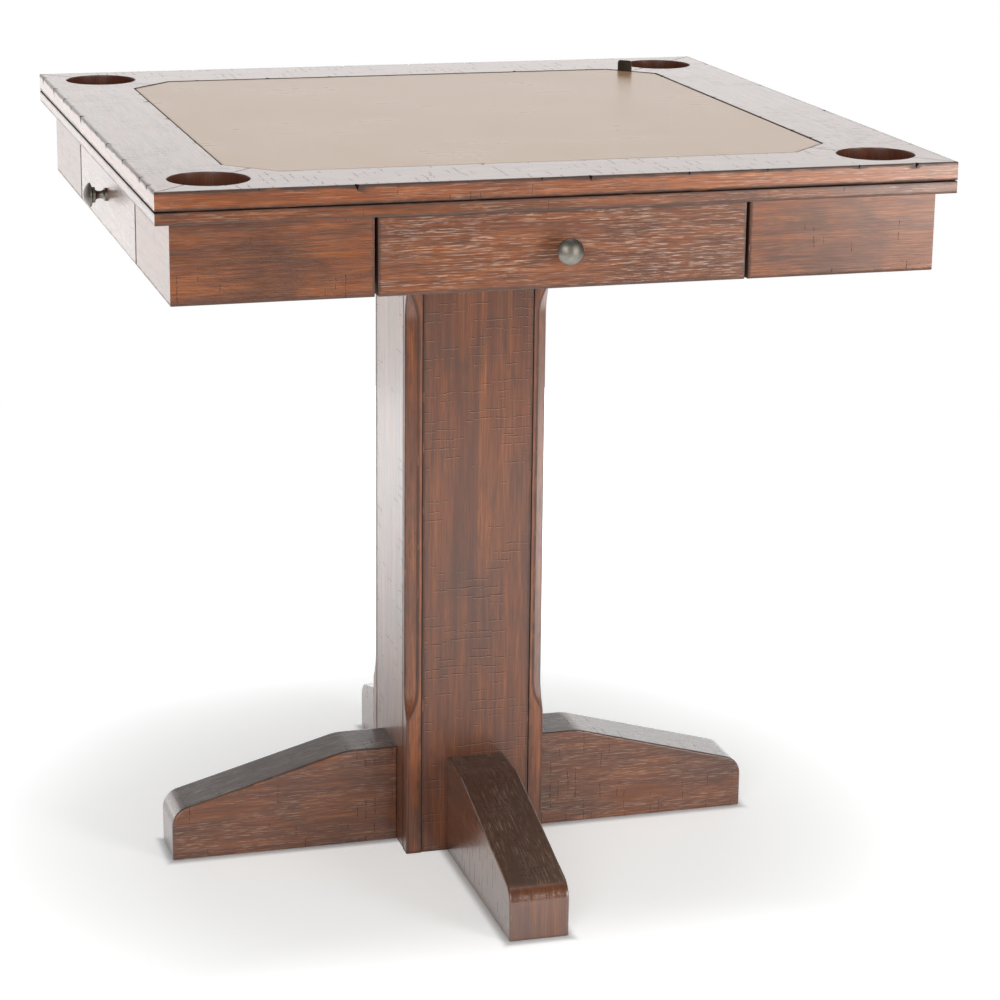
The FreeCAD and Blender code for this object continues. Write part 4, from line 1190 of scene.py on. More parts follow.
@dataclass
class Joiner:
    """Builds boards from outlines, gives them to their bodies and reports them."""

    nicks: NickCutters
    wobble: float = 0.45
    ripple: float = 34.0
    letter_step: float = 0.137
    length_step: float = 1.7
    board_weld: float = 0.003 * MM
    copy_weld: float = 0.002 * MM
    flat: float = math.radians(0.6)
    sharp: float = math.radians(35)
    ease_steps: int = 2
    ease_profile: float = 0.5
    seed_step: int = 17
    broad: float = 0.0004
    digits: int = 6

    def board(self, name: str, outline: Outline, rings: Sequence[Ring], plane: Plane,
              turn: Matrix) -> bmesh.types.BMesh:
        """A closed board grown from an outline.

        Args:
            name: the board's name, which seeds its wear.
            outline: the outline.
            rings: the turns of the outline, from one face to the other.
            plane: the plane of the outline.
            turn: the turn to the board's own side.

        Returns:
            The board's mesh.
        """
        mesh = bmesh.new()
        layer = mesh.verts.layers.float.new(WEAR_LAYER)
        seed = Vector((sum(name.encode()) * self.letter_step, len(name) * self.length_step, 0.0))
        loops = []
        for ring in rings:
            loop = []
            for mark in outline.marks:
                rest = mark.at(0.0)
                base = turn @ plane.place(rest.x, rest.y, ring.level)
                sway = 1.0 + self.wobble * noise.noise(base * self.ripple + seed)
                inset = ring.inset * (sway if ring.wear == 1.0 else 1.0)
                inset += ring.step if mark.stepped else 0.0
                at = mark.at(inset)
                vert = mesh.verts.new(turn @ plane.place(at.x, at.y, ring.level))
                vert[layer] = max(ring.wear, mark.wear if ring.wall else 0.0)
                loop.append(vert)
            loops.append(loop)
        count = len(outline.marks)
        for lower, upper in zip(loops, loops[1:]):
            for k in range(count):
                after = (k + 1) % count
                mesh.faces.new((lower[k], lower[after], upper[after], upper[k]))
        mesh.faces.new(list(reversed(loops[0])))
        mesh.faces.new(loops[-1])
        bmesh.ops.remove_doubles(mesh, verts=mesh.verts, dist=self.board_weld)
        return mesh

    def copy(self, node: str, rounding: float) -> bmesh.types.BMesh:
        """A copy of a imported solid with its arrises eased.

        Args:
            node: the solid's node.
            rounding: width of the easing.

        Returns:
            The copy's mesh.
        """
        mesh = bmesh.new()
        mesh.from_mesh(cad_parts[node].data)
        bmesh.ops.remove_doubles(mesh, verts=mesh.verts, dist=self.copy_weld)
        bmesh.ops.dissolve_limit(mesh, angle_limit=self.flat, verts=mesh.verts, edges=mesh.edges)
        edges = [edge for edge in mesh.edges if edge.is_manifold and edge.calc_face_angle() > self.sharp]
        bmesh.ops.bevel(mesh, geom=edges, offset=rounding, segments=self.ease_steps,
                        profile=self.ease_profile, affect="EDGES", clamp_overlap=True)
        return mesh

    def _spot(self, vert: bpy.types.MeshVertex | bmesh.types.BMVert) -> tuple[float, ...]:
        """A vertex's place, rounded so that it can be found again."""
        return tuple(round(part, self.digits) for part in vert.co)

    def nick(self, mesh: bmesh.types.BMesh, runs: Sequence[NickRun], seed: int) -> bmesh.types.BMesh:
        """Cuts a hand-distressed board's nicks out of its arrises.

        Args:
            mesh: the board's mesh, which is used up.
            runs: the arrises and how many nicks each has.
            seed: the seed of their places.

        Returns:
            The nicked mesh.
        """
        data = bpy.data.meshes.new("board_in_hand")
        mesh.to_mesh(data)
        mesh.free()
        board = linked("board_in_hand", data)
        known = {self._spot(vert) for vert in data.vertices}
        spent = [board]
        for number, run in enumerate(runs):
            cutters = self.nicks.cutters(run, seed + self.seed_step * number)
            spent.append(cutters)
            cut = board.modifiers.new("nicks", "BOOLEAN")
            cut.operation, cut.solver, cut.object = "DIFFERENCE", "EXACT", cutters
        made = bmesh.new()
        carved = evaluated(board)
        made.from_mesh(carved)
        layer = made.verts.layers.float.get(WEAR_LAYER) or made.verts.layers.float.new(WEAR_LAYER)
        for vert in made.verts:
            vert.tag = self._spot(vert) not in known
            if vert.tag:
                broad = any(face.calc_area() > self.broad for face in vert.link_faces)
                vert[layer] = 0.0 if broad else 1.0
        for face in made.faces:
            face.material_index = NICK_MARK if all(vert.tag for vert in face.verts) else 0
        for thing in spent:
            bpy.data.objects.remove(thing)
        bpy.data.meshes.remove(carved)
        return made

    def seat(self, mesh: bmesh.types.BMesh, name: str, finish: Finish, nodes: Sequence[str],
             zones: Sequence[Zone] = (), body: str = "table", slot: str = "stained_wood") -> None:
        """Makes a piece of a mesh, dresses it and gives it to its body.

        Args:
            mesh: the mesh, which is used up.
            name: the piece's name.
            finish: its finish.
            nodes: the CAD nodes that it stands for.
            zones: the parts of it that have another finish.
            body: the CAD body that it rides on.
            slot: not used.
        """
        bmesh.ops.recalc_face_normals(mesh, faces=mesh.faces)
        finishes = [finish] + [zone.finish for zone in zones]
        for face in mesh.faces:
            if face.material_index == NICK_MARK:
                face.material_index = len(finishes)
                continue
            face.material_index = next((k for k, zone in enumerate(zones, 1) if zone.holds(face)), 0)
        if any(face.material_index == len(finishes) for face in mesh.faces):
            finishes.append(NICK_GLAZE_AND_SEAM_SHADE)
        data = bpy.data.meshes.new(name)
        mesh.to_mesh(data)
        mesh.free()
        for dressing in finishes:
            data.materials.append(dressing.material())
        data.shade_smooth()
        data.set_sharp_from_angle(angle=SMOOTH_ANGLE)
        piece = linked(name, data)
        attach(piece, body)
        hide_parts(*nodes)
        LOG.info("%s: %d faces on %s", name, len(data.polygons), body)

    def fit(self, name: str, outline: Outline, rings: Sequence[Ring], plane: Plane, finish: Finish,
            nodes: Sequence[str], zones: Sequence[Zone] = (), side: Side = Side.FRONT, body: str = "table",
            slot: str = "stained_wood") -> None:
        """Builds a board from its outline and seats it."""
        mesh = self.board(name, outline, rings, plane, side.turn())
        self.seat(mesh, name, finish, nodes, zones, body, slot)

    def ease(self, node: str, name: str, rounding: float, finish: Finish, body: str = "table",
             slot: str = "pale_wood") -> None:
        """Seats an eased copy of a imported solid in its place."""
        self.seat(self.copy(node, rounding), name, finish, [node], (), body, slot)

    def dress(self, node: str, finish: Finish) -> None:
        """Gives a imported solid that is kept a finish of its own.

        Args:
            node: the solid's node.
            finish: its finish.
        """
        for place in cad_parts[node].material_slots:
            place.material = finish.material()
        LOG.info("%s: kept, in %s", node, finish.name)


def arc_corners(centre: Point, radius: float, start: float, end: float, steps: int,
                edge: Edge = Edge.WORN, last: Edge | None = None, stepped: bool = False) -> list[Corner]:
    """Corners along an arc.

    Args:
        centre: the arc's centre.
        radius: its radius.
        start: the angle where it starts, in degrees.
        end: the angle where it ends.
        steps: the number of runs.
        edge: the finish along it.
        last: the finish of the edge that leaves its end.
        stepped: whether the arc widens at a stepped ring.

    Returns:
        The corners, ends included.
    """
    made = []
    for step in range(steps + 1):
        angle = math.radians(start + (end - start) * step / steps)
        kind = (last or edge) if step == steps else edge
        made.append(Corner(centre[0] + radius * math.cos(angle), centre[1] + radius * math.sin(angle),
                           kind, 0.0, stepped))
    return made


@dataclass
class TopFrame:
    """The mitred frame of the top: upper and lower rails, cup wells and their floors."""

    joiner: Joiner
    half: float = 457 * MM
    opening: float = 356 * MM
    clip: float = 657.5 * MM
    support: float = 345 * MM
    cup_place: float = 386 * MM
    cup_radius: float = 45 * MM
    cup_slack: float = 0.4 * MM
    cup_steps: int = 28
    mitre: float = 45.0
    recess: float = 6.35 * MM
    recess_lip: float = 0.01 * MM
    low: float = 899 * MM
    cup_floor: float = 904 * MM
    seam: float = 913.5 * MM
    high: float = 935 * MM
    arris: float = 1.2 * MM
    low_arris: float = 0.9 * MM
    groove: float = 0.8 * MM
    seam_gap: float = 0.5 * MM
    seam_depth: float = 5.0 * MM
    seam_tilt: float = 0.2
    edge_nicks: int = 10
    opening_nicks: int = 6
    nick_margin: float = 20 * MM
    nick_seed: int = 40
    dusk: Colour = (0.140, 0.060, 0.048, 1.0)

    def rail_outline(self, clipped: bool) -> Outline:
        """The plan of the front rail.

        Args:
            clipped: whether it widens at its ends for the clipped corners.

        Returns:
            The outline.
        """
        ends = ((self.cup_place, -self.mitre), (-self.cup_place, self.mitre))
        right, left = (arc_corners((across, -self.cup_place), self.cup_radius, start, start - 180,
                                   self.cup_steps, Edge.HIDDEN, Edge.JOINT, True)
                       for across, start in ends)
        corners = [Corner(-self.half, -self.half, Edge.WORN), Corner(self.half, -self.half, Edge.JOINT)]
        corners += right
        if clipped:
            diagonal = self.clip / 2
            foot = self.clip - self.opening
            corners += [Corner(diagonal, -diagonal, Edge.HIDDEN), Corner(foot, -self.opening, Edge.HIDDEN),
                        Corner(-foot, -self.opening, Edge.HIDDEN), Corner(-diagonal, -diagonal, Edge.JOINT)]
        else:
            corners += [Corner(self.support, -self.support, Edge.HIDDEN),
                        Corner(-self.support, -self.support, Edge.JOINT)]
        return Outline(corners + left)

    def nick_runs(self) -> list[NickRun]:
        """The nicked arrises of the front rail: its outer top edge and the opening's edge."""
        reach, foot = self.half - self.nick_margin, self.clip - self.opening - self.nick_margin
        return [NickRun(Vector((-reach, -self.half, self.high)), Vector((reach, -self.half, self.high)),
                        Vector((0.0, -1.0, 1.0)).normalized(), self.edge_nicks),
                NickRun(Vector((-foot, -self.opening, self.high)), Vector((foot, -self.opening, self.high)),
                        Vector((0.0, 1.0, 1.0)).normalized(), self.opening_nicks)]

    def in_cup(self, face: bmesh.types.BMFace) -> bool:
        """Whether a face is part of a cup hole's wall.

        Args:
            face: the face.

        Returns:
            True for a wall of one of the four holes.
        """
        at = face.calc_center_median()
        off = math.hypot(abs(at.x) - self.cup_place, abs(at.y) - self.cup_place)
        return off < self.cup_radius + self.cup_slack and abs(face.normal.z) < FACES_UP

    def in_seam(self, face: bmesh.types.BMFace) -> bool:
        """Whether a face is part of the seam between the two layers, where painted shade darkens the groove.
        """
        off = abs(face.calc_center_median().z - self.seam)
        return off < self.seam_gap + self.groove and abs(face.normal.z) > self.seam_tilt

    def lower_rings(self) -> list[Ring]:
        """The rings of a lower rail, whose cup holes are recessed for their floors.

        Returns:
            The rings from the lower face to the seam.
        """
        plain = rounded_rings(self.low, self.seam - self.seam_gap, self.low_arris, self.groove)[:-SLOT_TAKES]
        plain += reversed(slot_rings(self.seam, -self.seam_gap, self.seam_depth, self.groove))
        rings = [Ring(ring.inset, ring.level, ring.wear, ring.wall, self.recess)
                 for ring in plain if ring.level < self.cup_floor]
        rings += [Ring(0.0, self.cup_floor, 0.0, True, self.recess),
                  Ring(0.0, self.cup_floor + self.recess_lip)]
        return rings + [ring for ring in plain if ring.level > self.cup_floor + 2 * self.recess_lip]

    def build(self) -> None:
        """Builds the rails and dresses the cup floors."""
        upper, lower = self.rail_outline(True), self.rail_outline(False)
        rounded = rounded_rings(self.seam + self.seam_gap, self.high, self.groove, self.arris)
        slot = slot_rings(self.seam, self.seam_gap, self.seam_depth, self.groove)
        upper_rings = slot + rounded[SLOT_TAKES:]
        lower_rings = self.lower_rings()
        well = StainedWood("cup_stain", Grain.ALONG_Z, (0.4, 0.9, 0.2), saw=0.0, brush=0.0, patch=0.3,
                           light=1.35, relief=0.1, wash=0.55, glaze=self.dusk)
        # The seam's faces take the near-black nick stain as painted shade in the groove between the two
        # layers.
        cups, seam = Zone(well, self.in_cup), Zone(NICK_GLAZE_AND_SEAM_SHADE, self.in_seam)
        for side in Side:
            label, grain, turn = side.label, side.grain, side.turn()
            finish = stained(f"edge_stain_{label}", side, grain, plank=(0.7, 0.2, 0.05), saw=0.05, brush=0.5,
                             patch=0.35, light=1.75, edge=1.0, flecks=0.3)
            table = stained(f"top_stain_{label}", side, grain, plank=(2.7, 0.6, 0.15), saw=0.35, brush=0.15,
                            patch=0.2, light=1.15, relief=0.12, edge=0.55)
            name = f"upper_rail_{label}"
            board = self.joiner.board(name, upper, upper_rings, Plane.PLAN, turn)
            runs = [run.turned(turn) for run in self.nick_runs()]
            board = self.joiner.nick(board, runs, self.nick_seed + side.value)
            self.joiner.seat(board, name, finish, [f"top_rail_{label}"], [cups, seam, Zone(table, looks_up)])
            finish = stained(f"under_stain_{label}", side, grain, plank=(1.9, 0.4, 0.31), saw=0.05, brush=0.5,
                             patch=0.5, light=1.25, flecks=0.35)
            self.joiner.fit(f"lower_rail_piece_{label}", lower, lower_rings, Plane.PLAN, finish,
                            [f"lower_rail_{label}"], [cups, seam], side)
        self.joiner.dress("cup_floors", well)


@dataclass
class Apron:
    """The fixed boards beside each drawer."""

    joiner: Joiner
    outer: float = 439 * MM
    inner: float = 420 * MM
    bay: float = 215 * MM
    low: float = 808 * MM
    high: float = 899 * MM
    arris: float = 1.3 * MM
    high_arris: float = 0.3 * MM

    def build(self) -> None:
        """Builds the eight boards."""
        rings = rounded_rings(self.low, self.high, self.arris, self.high_arris)
        right = Outline([Corner(self.bay, -self.outer, radius=self.arris),
                         Corner(self.outer, -self.outer, Edge.JOINT),
                         Corner(self.inner, -self.inner, Edge.HIDDEN),
                         Corner(self.bay, -self.inner, Edge.HIDDEN)])
        left = Outline([Corner(-self.outer, -self.outer),
                        Corner(-self.bay, -self.outer, Edge.HIDDEN, radius=self.arris),
                        Corner(-self.bay, -self.inner, Edge.HIDDEN),
                        Corner(-self.inner, -self.inner, Edge.JOINT)])
        for side in Side:
            node = f"apron_{side.label}"
            finish = stained(f"apron_stain_{side.label}", side, side.grain, plank=(3.1, 0.7, 0.55), saw=0.06,
                             brush=0.7, patch=0.6, light=1.26, flecks=0.08, gloss=0.9)
            for hand, outline in (("right", right), ("left", left)):
                self.joiner.fit(f"{node}_{hand}_board", outline, rings, Plane.PLAN, finish, [node],
                                [sawn_ends(side)], side)


@dataclass
class Drawer:
    """One drawer: its worn front, its plain box and its turned knob."""

    joiner: Joiner
    side: Side
    half_front: float = 211.8 * MM
    low: float = 808 * MM
    high: float = 897 * MM
    face: float = 439 * MM
    back: float = 420 * MM
    arris: float = 1.4 * MM
    back_arris: float = 0.5 * MM
    box_ease: float = 0.6 * MM
    box_plank: Place = (0.2, 0.4, 0.6)

    def build(self) -> None:
        """Builds the drawer's pieces."""
        side, body = self.side, f"drawer_{self.side.label}"
        outline = rectangle(self.half_front, self.low, self.high, self.arris)
        rings = rounded_rings(self.back, self.face, self.back_arris, self.arris)
        finish = stained(f"drawer_stain_{side.label}", side, side.grain, plank=(5.3, 1.1, 0.83), saw=0.0,
                         brush=0.9, patch=0.4, light=1.28, flecks=0.55, relief=0.5)
        self.joiner.fit(f"{body}_face_board", outline, rings, Plane.FRONT_VIEW, finish, [f"{body}_front"],
                        [sawn_ends(side)], side, body)
        for part, grain in (("sides", side.across), ("back", side.grain)):
            wood = PaleWood(f"box_wood_{grain.name.lower()}", grain, self.box_plank)
            self.joiner.ease(f"{body}_{part}", f"{body}_box_{part}", self.box_ease, wood, body)
        self.joiner.dress(f"{body}_bottom", Plywood("drawer_plywood"))
        self.joiner.dress(f"{body}_knob", PEWTER)


@dataclass
class Column:
    """The square column: four panels between four stop-chamfered posts."""

    joiner: Joiner
    half: float = 90 * MM
    seam: float = 71 * MM
    seam_round: float = 0.6 * MM
    seam_ease: float = 0.5 * MM
    panel_half: float = 70.4 * MM
    panel_back: float = 78 * MM
    panel_arris: float = 1.6 * MM
    back_arris: float = 0.3 * MM
    panel_turns: int = 2
    core: float = 52 * MM
    low: float = 1.4 * MM
    high: float = 881 * MM
    foot_levels: tuple[float, ...] = (0.0, 1.2 * MM, 6 * MM)
    foot_band: float = 12 * MM
    foot_wear: float = 2 * MM
    chamfer: float = 14 * MM
    chamfer_low: float = 180 * MM
    chamfer_high: float = 739 * MM
    run_out: float = 98 * MM
    least: float = 1.3 * MM
    turn_steps: int = 10
    spacing: float = 20 * MM
    ease: float = 0.7 * MM
    ease_share: float = 0.35
    bevel: float = 2.4 * MM
    bevel_share: float = 0.3
    near_band: float = 2.4 * MM
    near_room: float = 1.8 * MM
    far_band: float = 4.6 * MM
    far_room: float = 1.2 * MM
    seam_wear: float = 0.8
    near_wear: float = 0.5
    bevel_wear: float = 0.4
    wobble: float = 0.4
    ripple: float = 40.0

    @property
    def depth(self) -> float:
        """How deep the full chamfer cuts into the corner."""
        return self.chamfer / math.sqrt(2)

    @property
    def run(self) -> float:
        """How far a run-out reaches along the post."""
        return math.sqrt(self.run_out ** 2 - (self.run_out - self.depth) ** 2)

    def chamfer_at(self, level: float) -> float:
        """The leg of the chamfer at a level.

        Args:
            level: the height above the floor.

        Returns:
            The chamfer's leg along each face.
        """
        from_end = min(level - self.chamfer_low, self.chamfer_high - level)
        if from_end <= 0.0:
            return self.least
        left = max(0.0, self.run - from_end)
        cut = self.depth - self.run_out + math.sqrt(self.run_out ** 2 - left ** 2)
        return max(self.least, cut * math.sqrt(2))

    def levels(self) -> list[float]:
        """The heights of a post's sections.

        Returns:
            The heights from foot to head, closer together in the run-outs.
        """
        run = self.run
        made = [self.low + level for level in self.foot_levels]
        spans = [(self.low + self.foot_band, self.chamfer_low, self.spacing),
                 (self.chamfer_low, self.chamfer_low + run, run / self.turn_steps),
                 (self.chamfer_low + run, self.chamfer_high - run, self.spacing),
                 (self.chamfer_high - run, self.chamfer_high, run / self.turn_steps),
                 (self.chamfer_high, self.high, self.spacing)]
        for start, end, pitch in spans:
            steps = max(1, round((end - start) / pitch))
            made += [start + (end - start) * step / steps for step in range(steps)]
        return made + [self.high]

    def section(self, leg: float, level: float) -> list[tuple[Vector, float]]:
        """The front-left post's section at one level.

        Args:
            leg: the chamfer's leg there.
            level: the height.

        Returns:
            Its points, anticlockwise, each with its wear.
        """
        out, ease = self.half, min(self.ease, leg * self.ease_share)
        sway = 1.0 + self.wobble * noise.noise(Vector((level * self.ripple, leg, 0.0)))
        leg = leg * sway if leg <= self.least else leg
        near = min(leg + self.near_band, out - self.seam - self.near_room)
        far = min(leg + self.far_band, out - self.seam - self.far_room)
        slope = ease / math.sqrt(2)
        bevel = min(self.bevel, leg * self.bevel_share)
        face = [(self.seam, self.seam_round, 1.0), (self.seam, 0.0, 1.0),
                (self.seam + self.seam_ease, 0.0, self.seam_wear), (out - far, 0.0, 0.0),
                (out - near, 0.0, self.near_wear), (out - leg - ease, 0.0, 1.0),
                (out - (leg - slope), slope, 1.0), (out - (leg - bevel), bevel, self.bevel_wear)]
        points = [(Vector((-across, -out + inset)), wear) for across, inset, wear in face]
        points += [(Vector((point.y, point.x)), wear) for point, wear in reversed(points)]
        rebate = [(-self.panel_back, -self.seam), (-self.panel_back, -self.core), (-self.core, -self.core),
                  (-self.core, -self.panel_back), (-self.seam, -self.panel_back)]
        return points + [(Vector(at), 0.0) for at in rebate]

    def post(self, side: Side) -> bmesh.types.BMesh:
        """The post at the left end of a side.

        Args:
            side: the side.

        Returns:
            The post's mesh.
        """
        mesh = bmesh.new()
        layer = mesh.verts.layers.float.new(WEAR_LAYER)
        turn = side.turn()
        loops = []
        for level in self.levels():
            loop = []
            for at, wear in self.section(self.chamfer_at(level), level):
                vert = mesh.verts.new(turn @ Vector((at.x, at.y, level)))
                vert[layer] = 1.0 if level < self.low + self.foot_wear else wear
                loop.append(vert)
            loops.append(loop)
        count = len(loops[0])
        for lower, upper in zip(loops, loops[1:]):
            for k in range(count):
                after = (k + 1) % count
                mesh.faces.new((lower[k], upper[k], upper[after], lower[after]))
        mesh.faces.new(loops[0])
        mesh.faces.new(list(reversed(loops[-1])))
        return mesh

    def build(self) -> None:
        """Builds the panels and the posts."""
        outline = rectangle(self.panel_half, self.low, self.high)
        rings = rounded_rings(self.panel_back, self.half, self.back_arris, self.panel_arris, self.panel_turns)
        posts = {Side.FRONT: "front_left", Side.RIGHT: "front_right",
                 Side.BACK: "back_right", Side.LEFT: "back_left"}
        for side, post in posts.items():
            finish = stained(f"panel_stain_{side.label}", side, Grain.ALONG_Z, plank=(7.7, 1.3, 0.37),
                             saw=0.2 if side is Side.LEFT else 0.6, brush=0.6, patch=0.55, light=0.97,
                             staves=0.07, cut=0.8, lip=0.16, gloss=0.88)
            self.joiner.fit(f"column_face_{side.label}", outline, rings, Plane.FRONT_VIEW, finish,
                            [f"column_panel_{side.label}"], (), side)
            finish = stained(f"post_stain_{post}", side, Grain.ALONG_Z, plank=(9.1, 1.7, 0.71), saw=0.0,
                             brush=0.3, patch=0.45, light=1.3, gloss=0.88)
            self.joiner.seat(self.post(side), f"post_{post}", finish, [f"column_post_{post}"])


@dataclass
class Legs:
    """The four tapered legs that cross at the column."""

    joiner: Joiner
    half_width: float = 37 * MM
    root: float = 90 * MM
    reach: float = 382 * MM
    low: float = 1.4 * MM
    high: float = 128.5 * MM
    slope: float = 15.39
    toe_radius: float = 25 * MM
    toe_steps: int = 12
    shoulder_radius: float = 70 * MM
    shoulder_steps: int = 8
    shoulder: float = 154.8 * MM
    arris: float = 2.0 * MM
    # Dark grey-brown that the leg tops are washed towards as painted shade; the toes take a little of it too.
    dusk: Colour = (0.076, 0.052, 0.046, 1.0)

    def profile(self) -> Outline:
        """The front leg's outline seen from the right.

        Returns:
            The outline.
        """
        lean = math.radians(self.slope)
        toe_high = self.high - (self.reach - self.shoulder) * math.tan(lean)
        toe_drop = self.toe_radius * math.tan((math.pi / 2 - lean) / 2)
        toe = (-self.reach + self.toe_radius, toe_high - toe_drop)
        bend = self.shoulder_radius * math.tan(lean / 2)
        shoulder = (-self.shoulder + bend, self.high - self.shoulder_radius)
        corners = [Corner(-self.root, self.low, Edge.JOINT), Corner(-self.root, self.high)]
        corners += arc_corners(shoulder, self.shoulder_radius, 90, 90 + self.slope, self.shoulder_steps)
        corners += arc_corners(toe, self.toe_radius, 90 + self.slope, 180, self.toe_steps)
        corners.append(Corner(-self.reach, self.low, radius=self.arris))
        return Outline(corners)

    def leans(self) -> dict[Side, Place]:
        """The turns in degrees, by side, that lay each leg's slope level, so that the grain runs down it."""
        return {Side.FRONT: (-self.slope, 0.0, 0.0), Side.RIGHT: (0.0, -self.slope, 0.0),
                Side.BACK: (self.slope, 0.0, 0.0), Side.LEFT: (0.0, self.slope, 0.0)}

    def build(self) -> None:
        """Builds the four legs."""
        rings = rounded_rings(-self.half_width, self.half_width, self.arris, self.arris)
        outline = self.profile()
        for side, lean in self.leans().items():
            label = side.label
            finish = stained(f"leg_stain_{label}", side, side.across, plank=(11.3, 2.1, 0.93), saw=0.22,
                             brush=0.6, patch=0.65, light=0.88, edge=0.1, flecks=0.25,
                             gloss=1.2 if side in (Side.FRONT, Side.BACK) else 0.92)
            # The faces that look up, under the table top, take a darker and greyer copy of the leg stain:
            # painted shade.
            top = stained(f"leg_top_stain_{label}", side, side.across, plank=(12.1, 2.6, 0.4), saw=0.4,
                          brush=0.6, patch=0.6, light=0.55, lean=lean, edge=0.1, flecks=0.38, wash=0.75,
                          glaze=self.dusk)
            toe = stained(f"toe_stain_{label}", side, Grain.ALONG_Z, plank=(13.1, 2.9, 0.6), saw=0.0,
                          brush=0.3, patch=0.5, light=0.9, edge=0.1, wash=0.3, gloss=1.2, glaze=self.dusk)
            out = side.turn().to_3x3() @ Vector((0.0, -1.0, 0.0))
            zones = [Zone(toe, lambda face: face.normal.dot(out) > FACES_OUT), Zone(top, looks_up)]
            self.joiner.fit(f"leg_piece_{label}", outline, rings, Plane.SIDE_VIEW, finish, [f"leg_{label}"],
                            zones, side)


@dataclass
class FlipInsert:
    """The loose insert: a stained board, its leather playing surface and its pull tab."""

    joiner: Joiner
    half: float = 353.8 * MM
    clip: float = 53.21 * MM
    low: float = 913.5 * MM
    skin: float = 933.3 * MM
    high: float = 934.5 * MM
    corner: float = 1.2 * MM
    low_arris: float = 1.0 * MM
    skin_arris: float = 0.1 * MM
    high_arris: float = 0.9 * MM
    tab_ease: float = 0.4 * MM

    def plan(self) -> Outline:
        """The clipped square of the insert.

        Returns:
            The outline.
        """
        far, near = self.half, self.half - self.clip
        places = [(-near, -far), (near, -far), (far, -near), (far, near), (near, far), (-near, far),
                  (-far, near), (-far, -near)]
        return Outline([Corner(x, y, radius=self.corner) for x, y in places])

    def build(self) -> None:
        """Builds the board, the leather and the tab."""
        plan = self.plan()
        finish = StainedWood("insert_stain", Grain.ALONG_X, (13.7, 2.9, 1.7), saw=0.3, brush=0.5, patch=0.45)
        rings = rounded_rings(self.low, self.skin, self.low_arris, self.skin_arris)
        self.joiner.fit("insert_panel", plan, rings, Plane.PLAN, finish, ["insert_board"], body="insert")
        rings = rounded_rings(self.skin, self.high, self.skin_arris, self.high_arris)
        self.joiner.fit("playing_leather", plan, rings, Plane.PLAN, PlayingLeather(), ["playing_surface"],
                        body="insert", slot="playing_leather")
        self.joiner.ease("pull_tab", "pull_strap", self.tab_ease, StrapLeather(), "pull_tab", "strap_leather")


@dataclass
class Underside:
    """The hidden frame, the plates and the fasteners."""

    joiner: Joiner
    ease: float = 0.7 * MM
    plate_ply: float = 3 * MM

    def build(self) -> None:
        """Builds the eased boards and dresses what is kept."""
        for side in Side:
            wood = PaleWood(f"guide_wood_{side.grain.name.lower()}", side.grain, (0.9, 0.3, 0.1))
            self.joiner.ease(f"guide_board_{side.label}", f"guide_piece_{side.label}", self.ease, wood)
        block = PaleWood("block_wood", Grain.ALONG_Z, (0.5, 0.1, 0.7))
        runner = PaleWood("runner_wood", Grain.ALONG_X, (0.1, 0.8, 0.2))
        self.joiner.ease("corner_blocks", "corner_block_set", self.ease, block)
        self.joiner.ease("drawer_runners", "runner_set", self.ease, runner)
        self.joiner.dress("support_panel", Plywood("support_plywood"))
        self.joiner.dress("mounting_plate", Plywood("plate_plywood", self.plate_ply))
        for node in ("plate_screws", "leg_bolts", "leg_washers"):
            self.joiner.dress(node, ZINC)
        self.joiner.dress("floor_glides", GlidePlastic())


@dataclass(frozen=True)
class Lamp:
    """A soft light: where it hangs, what it points at, its size, its power in watts and its colour."""

    name: str
    at: Place
    aim: Place
    size: Point
    power: float
    colour: Place = (1.0, 1.0, 1.0)

    def hang(self) -> None:
        """Hangs the light out of the camera's sight."""
        data = bpy.data.lights.new(self.name, "AREA")
        data.shape = "RECTANGLE"
        data.size, data.size_y = self.size
        data.energy = self.power
        data.color = self.colour
        light = linked(self.name, data)
        light.location = self.at
        light.rotation_euler = (Vector(self.aim) - Vector(self.at)).to_track_quat("-Z", "Y").to_euler()
        light.visible_camera = False


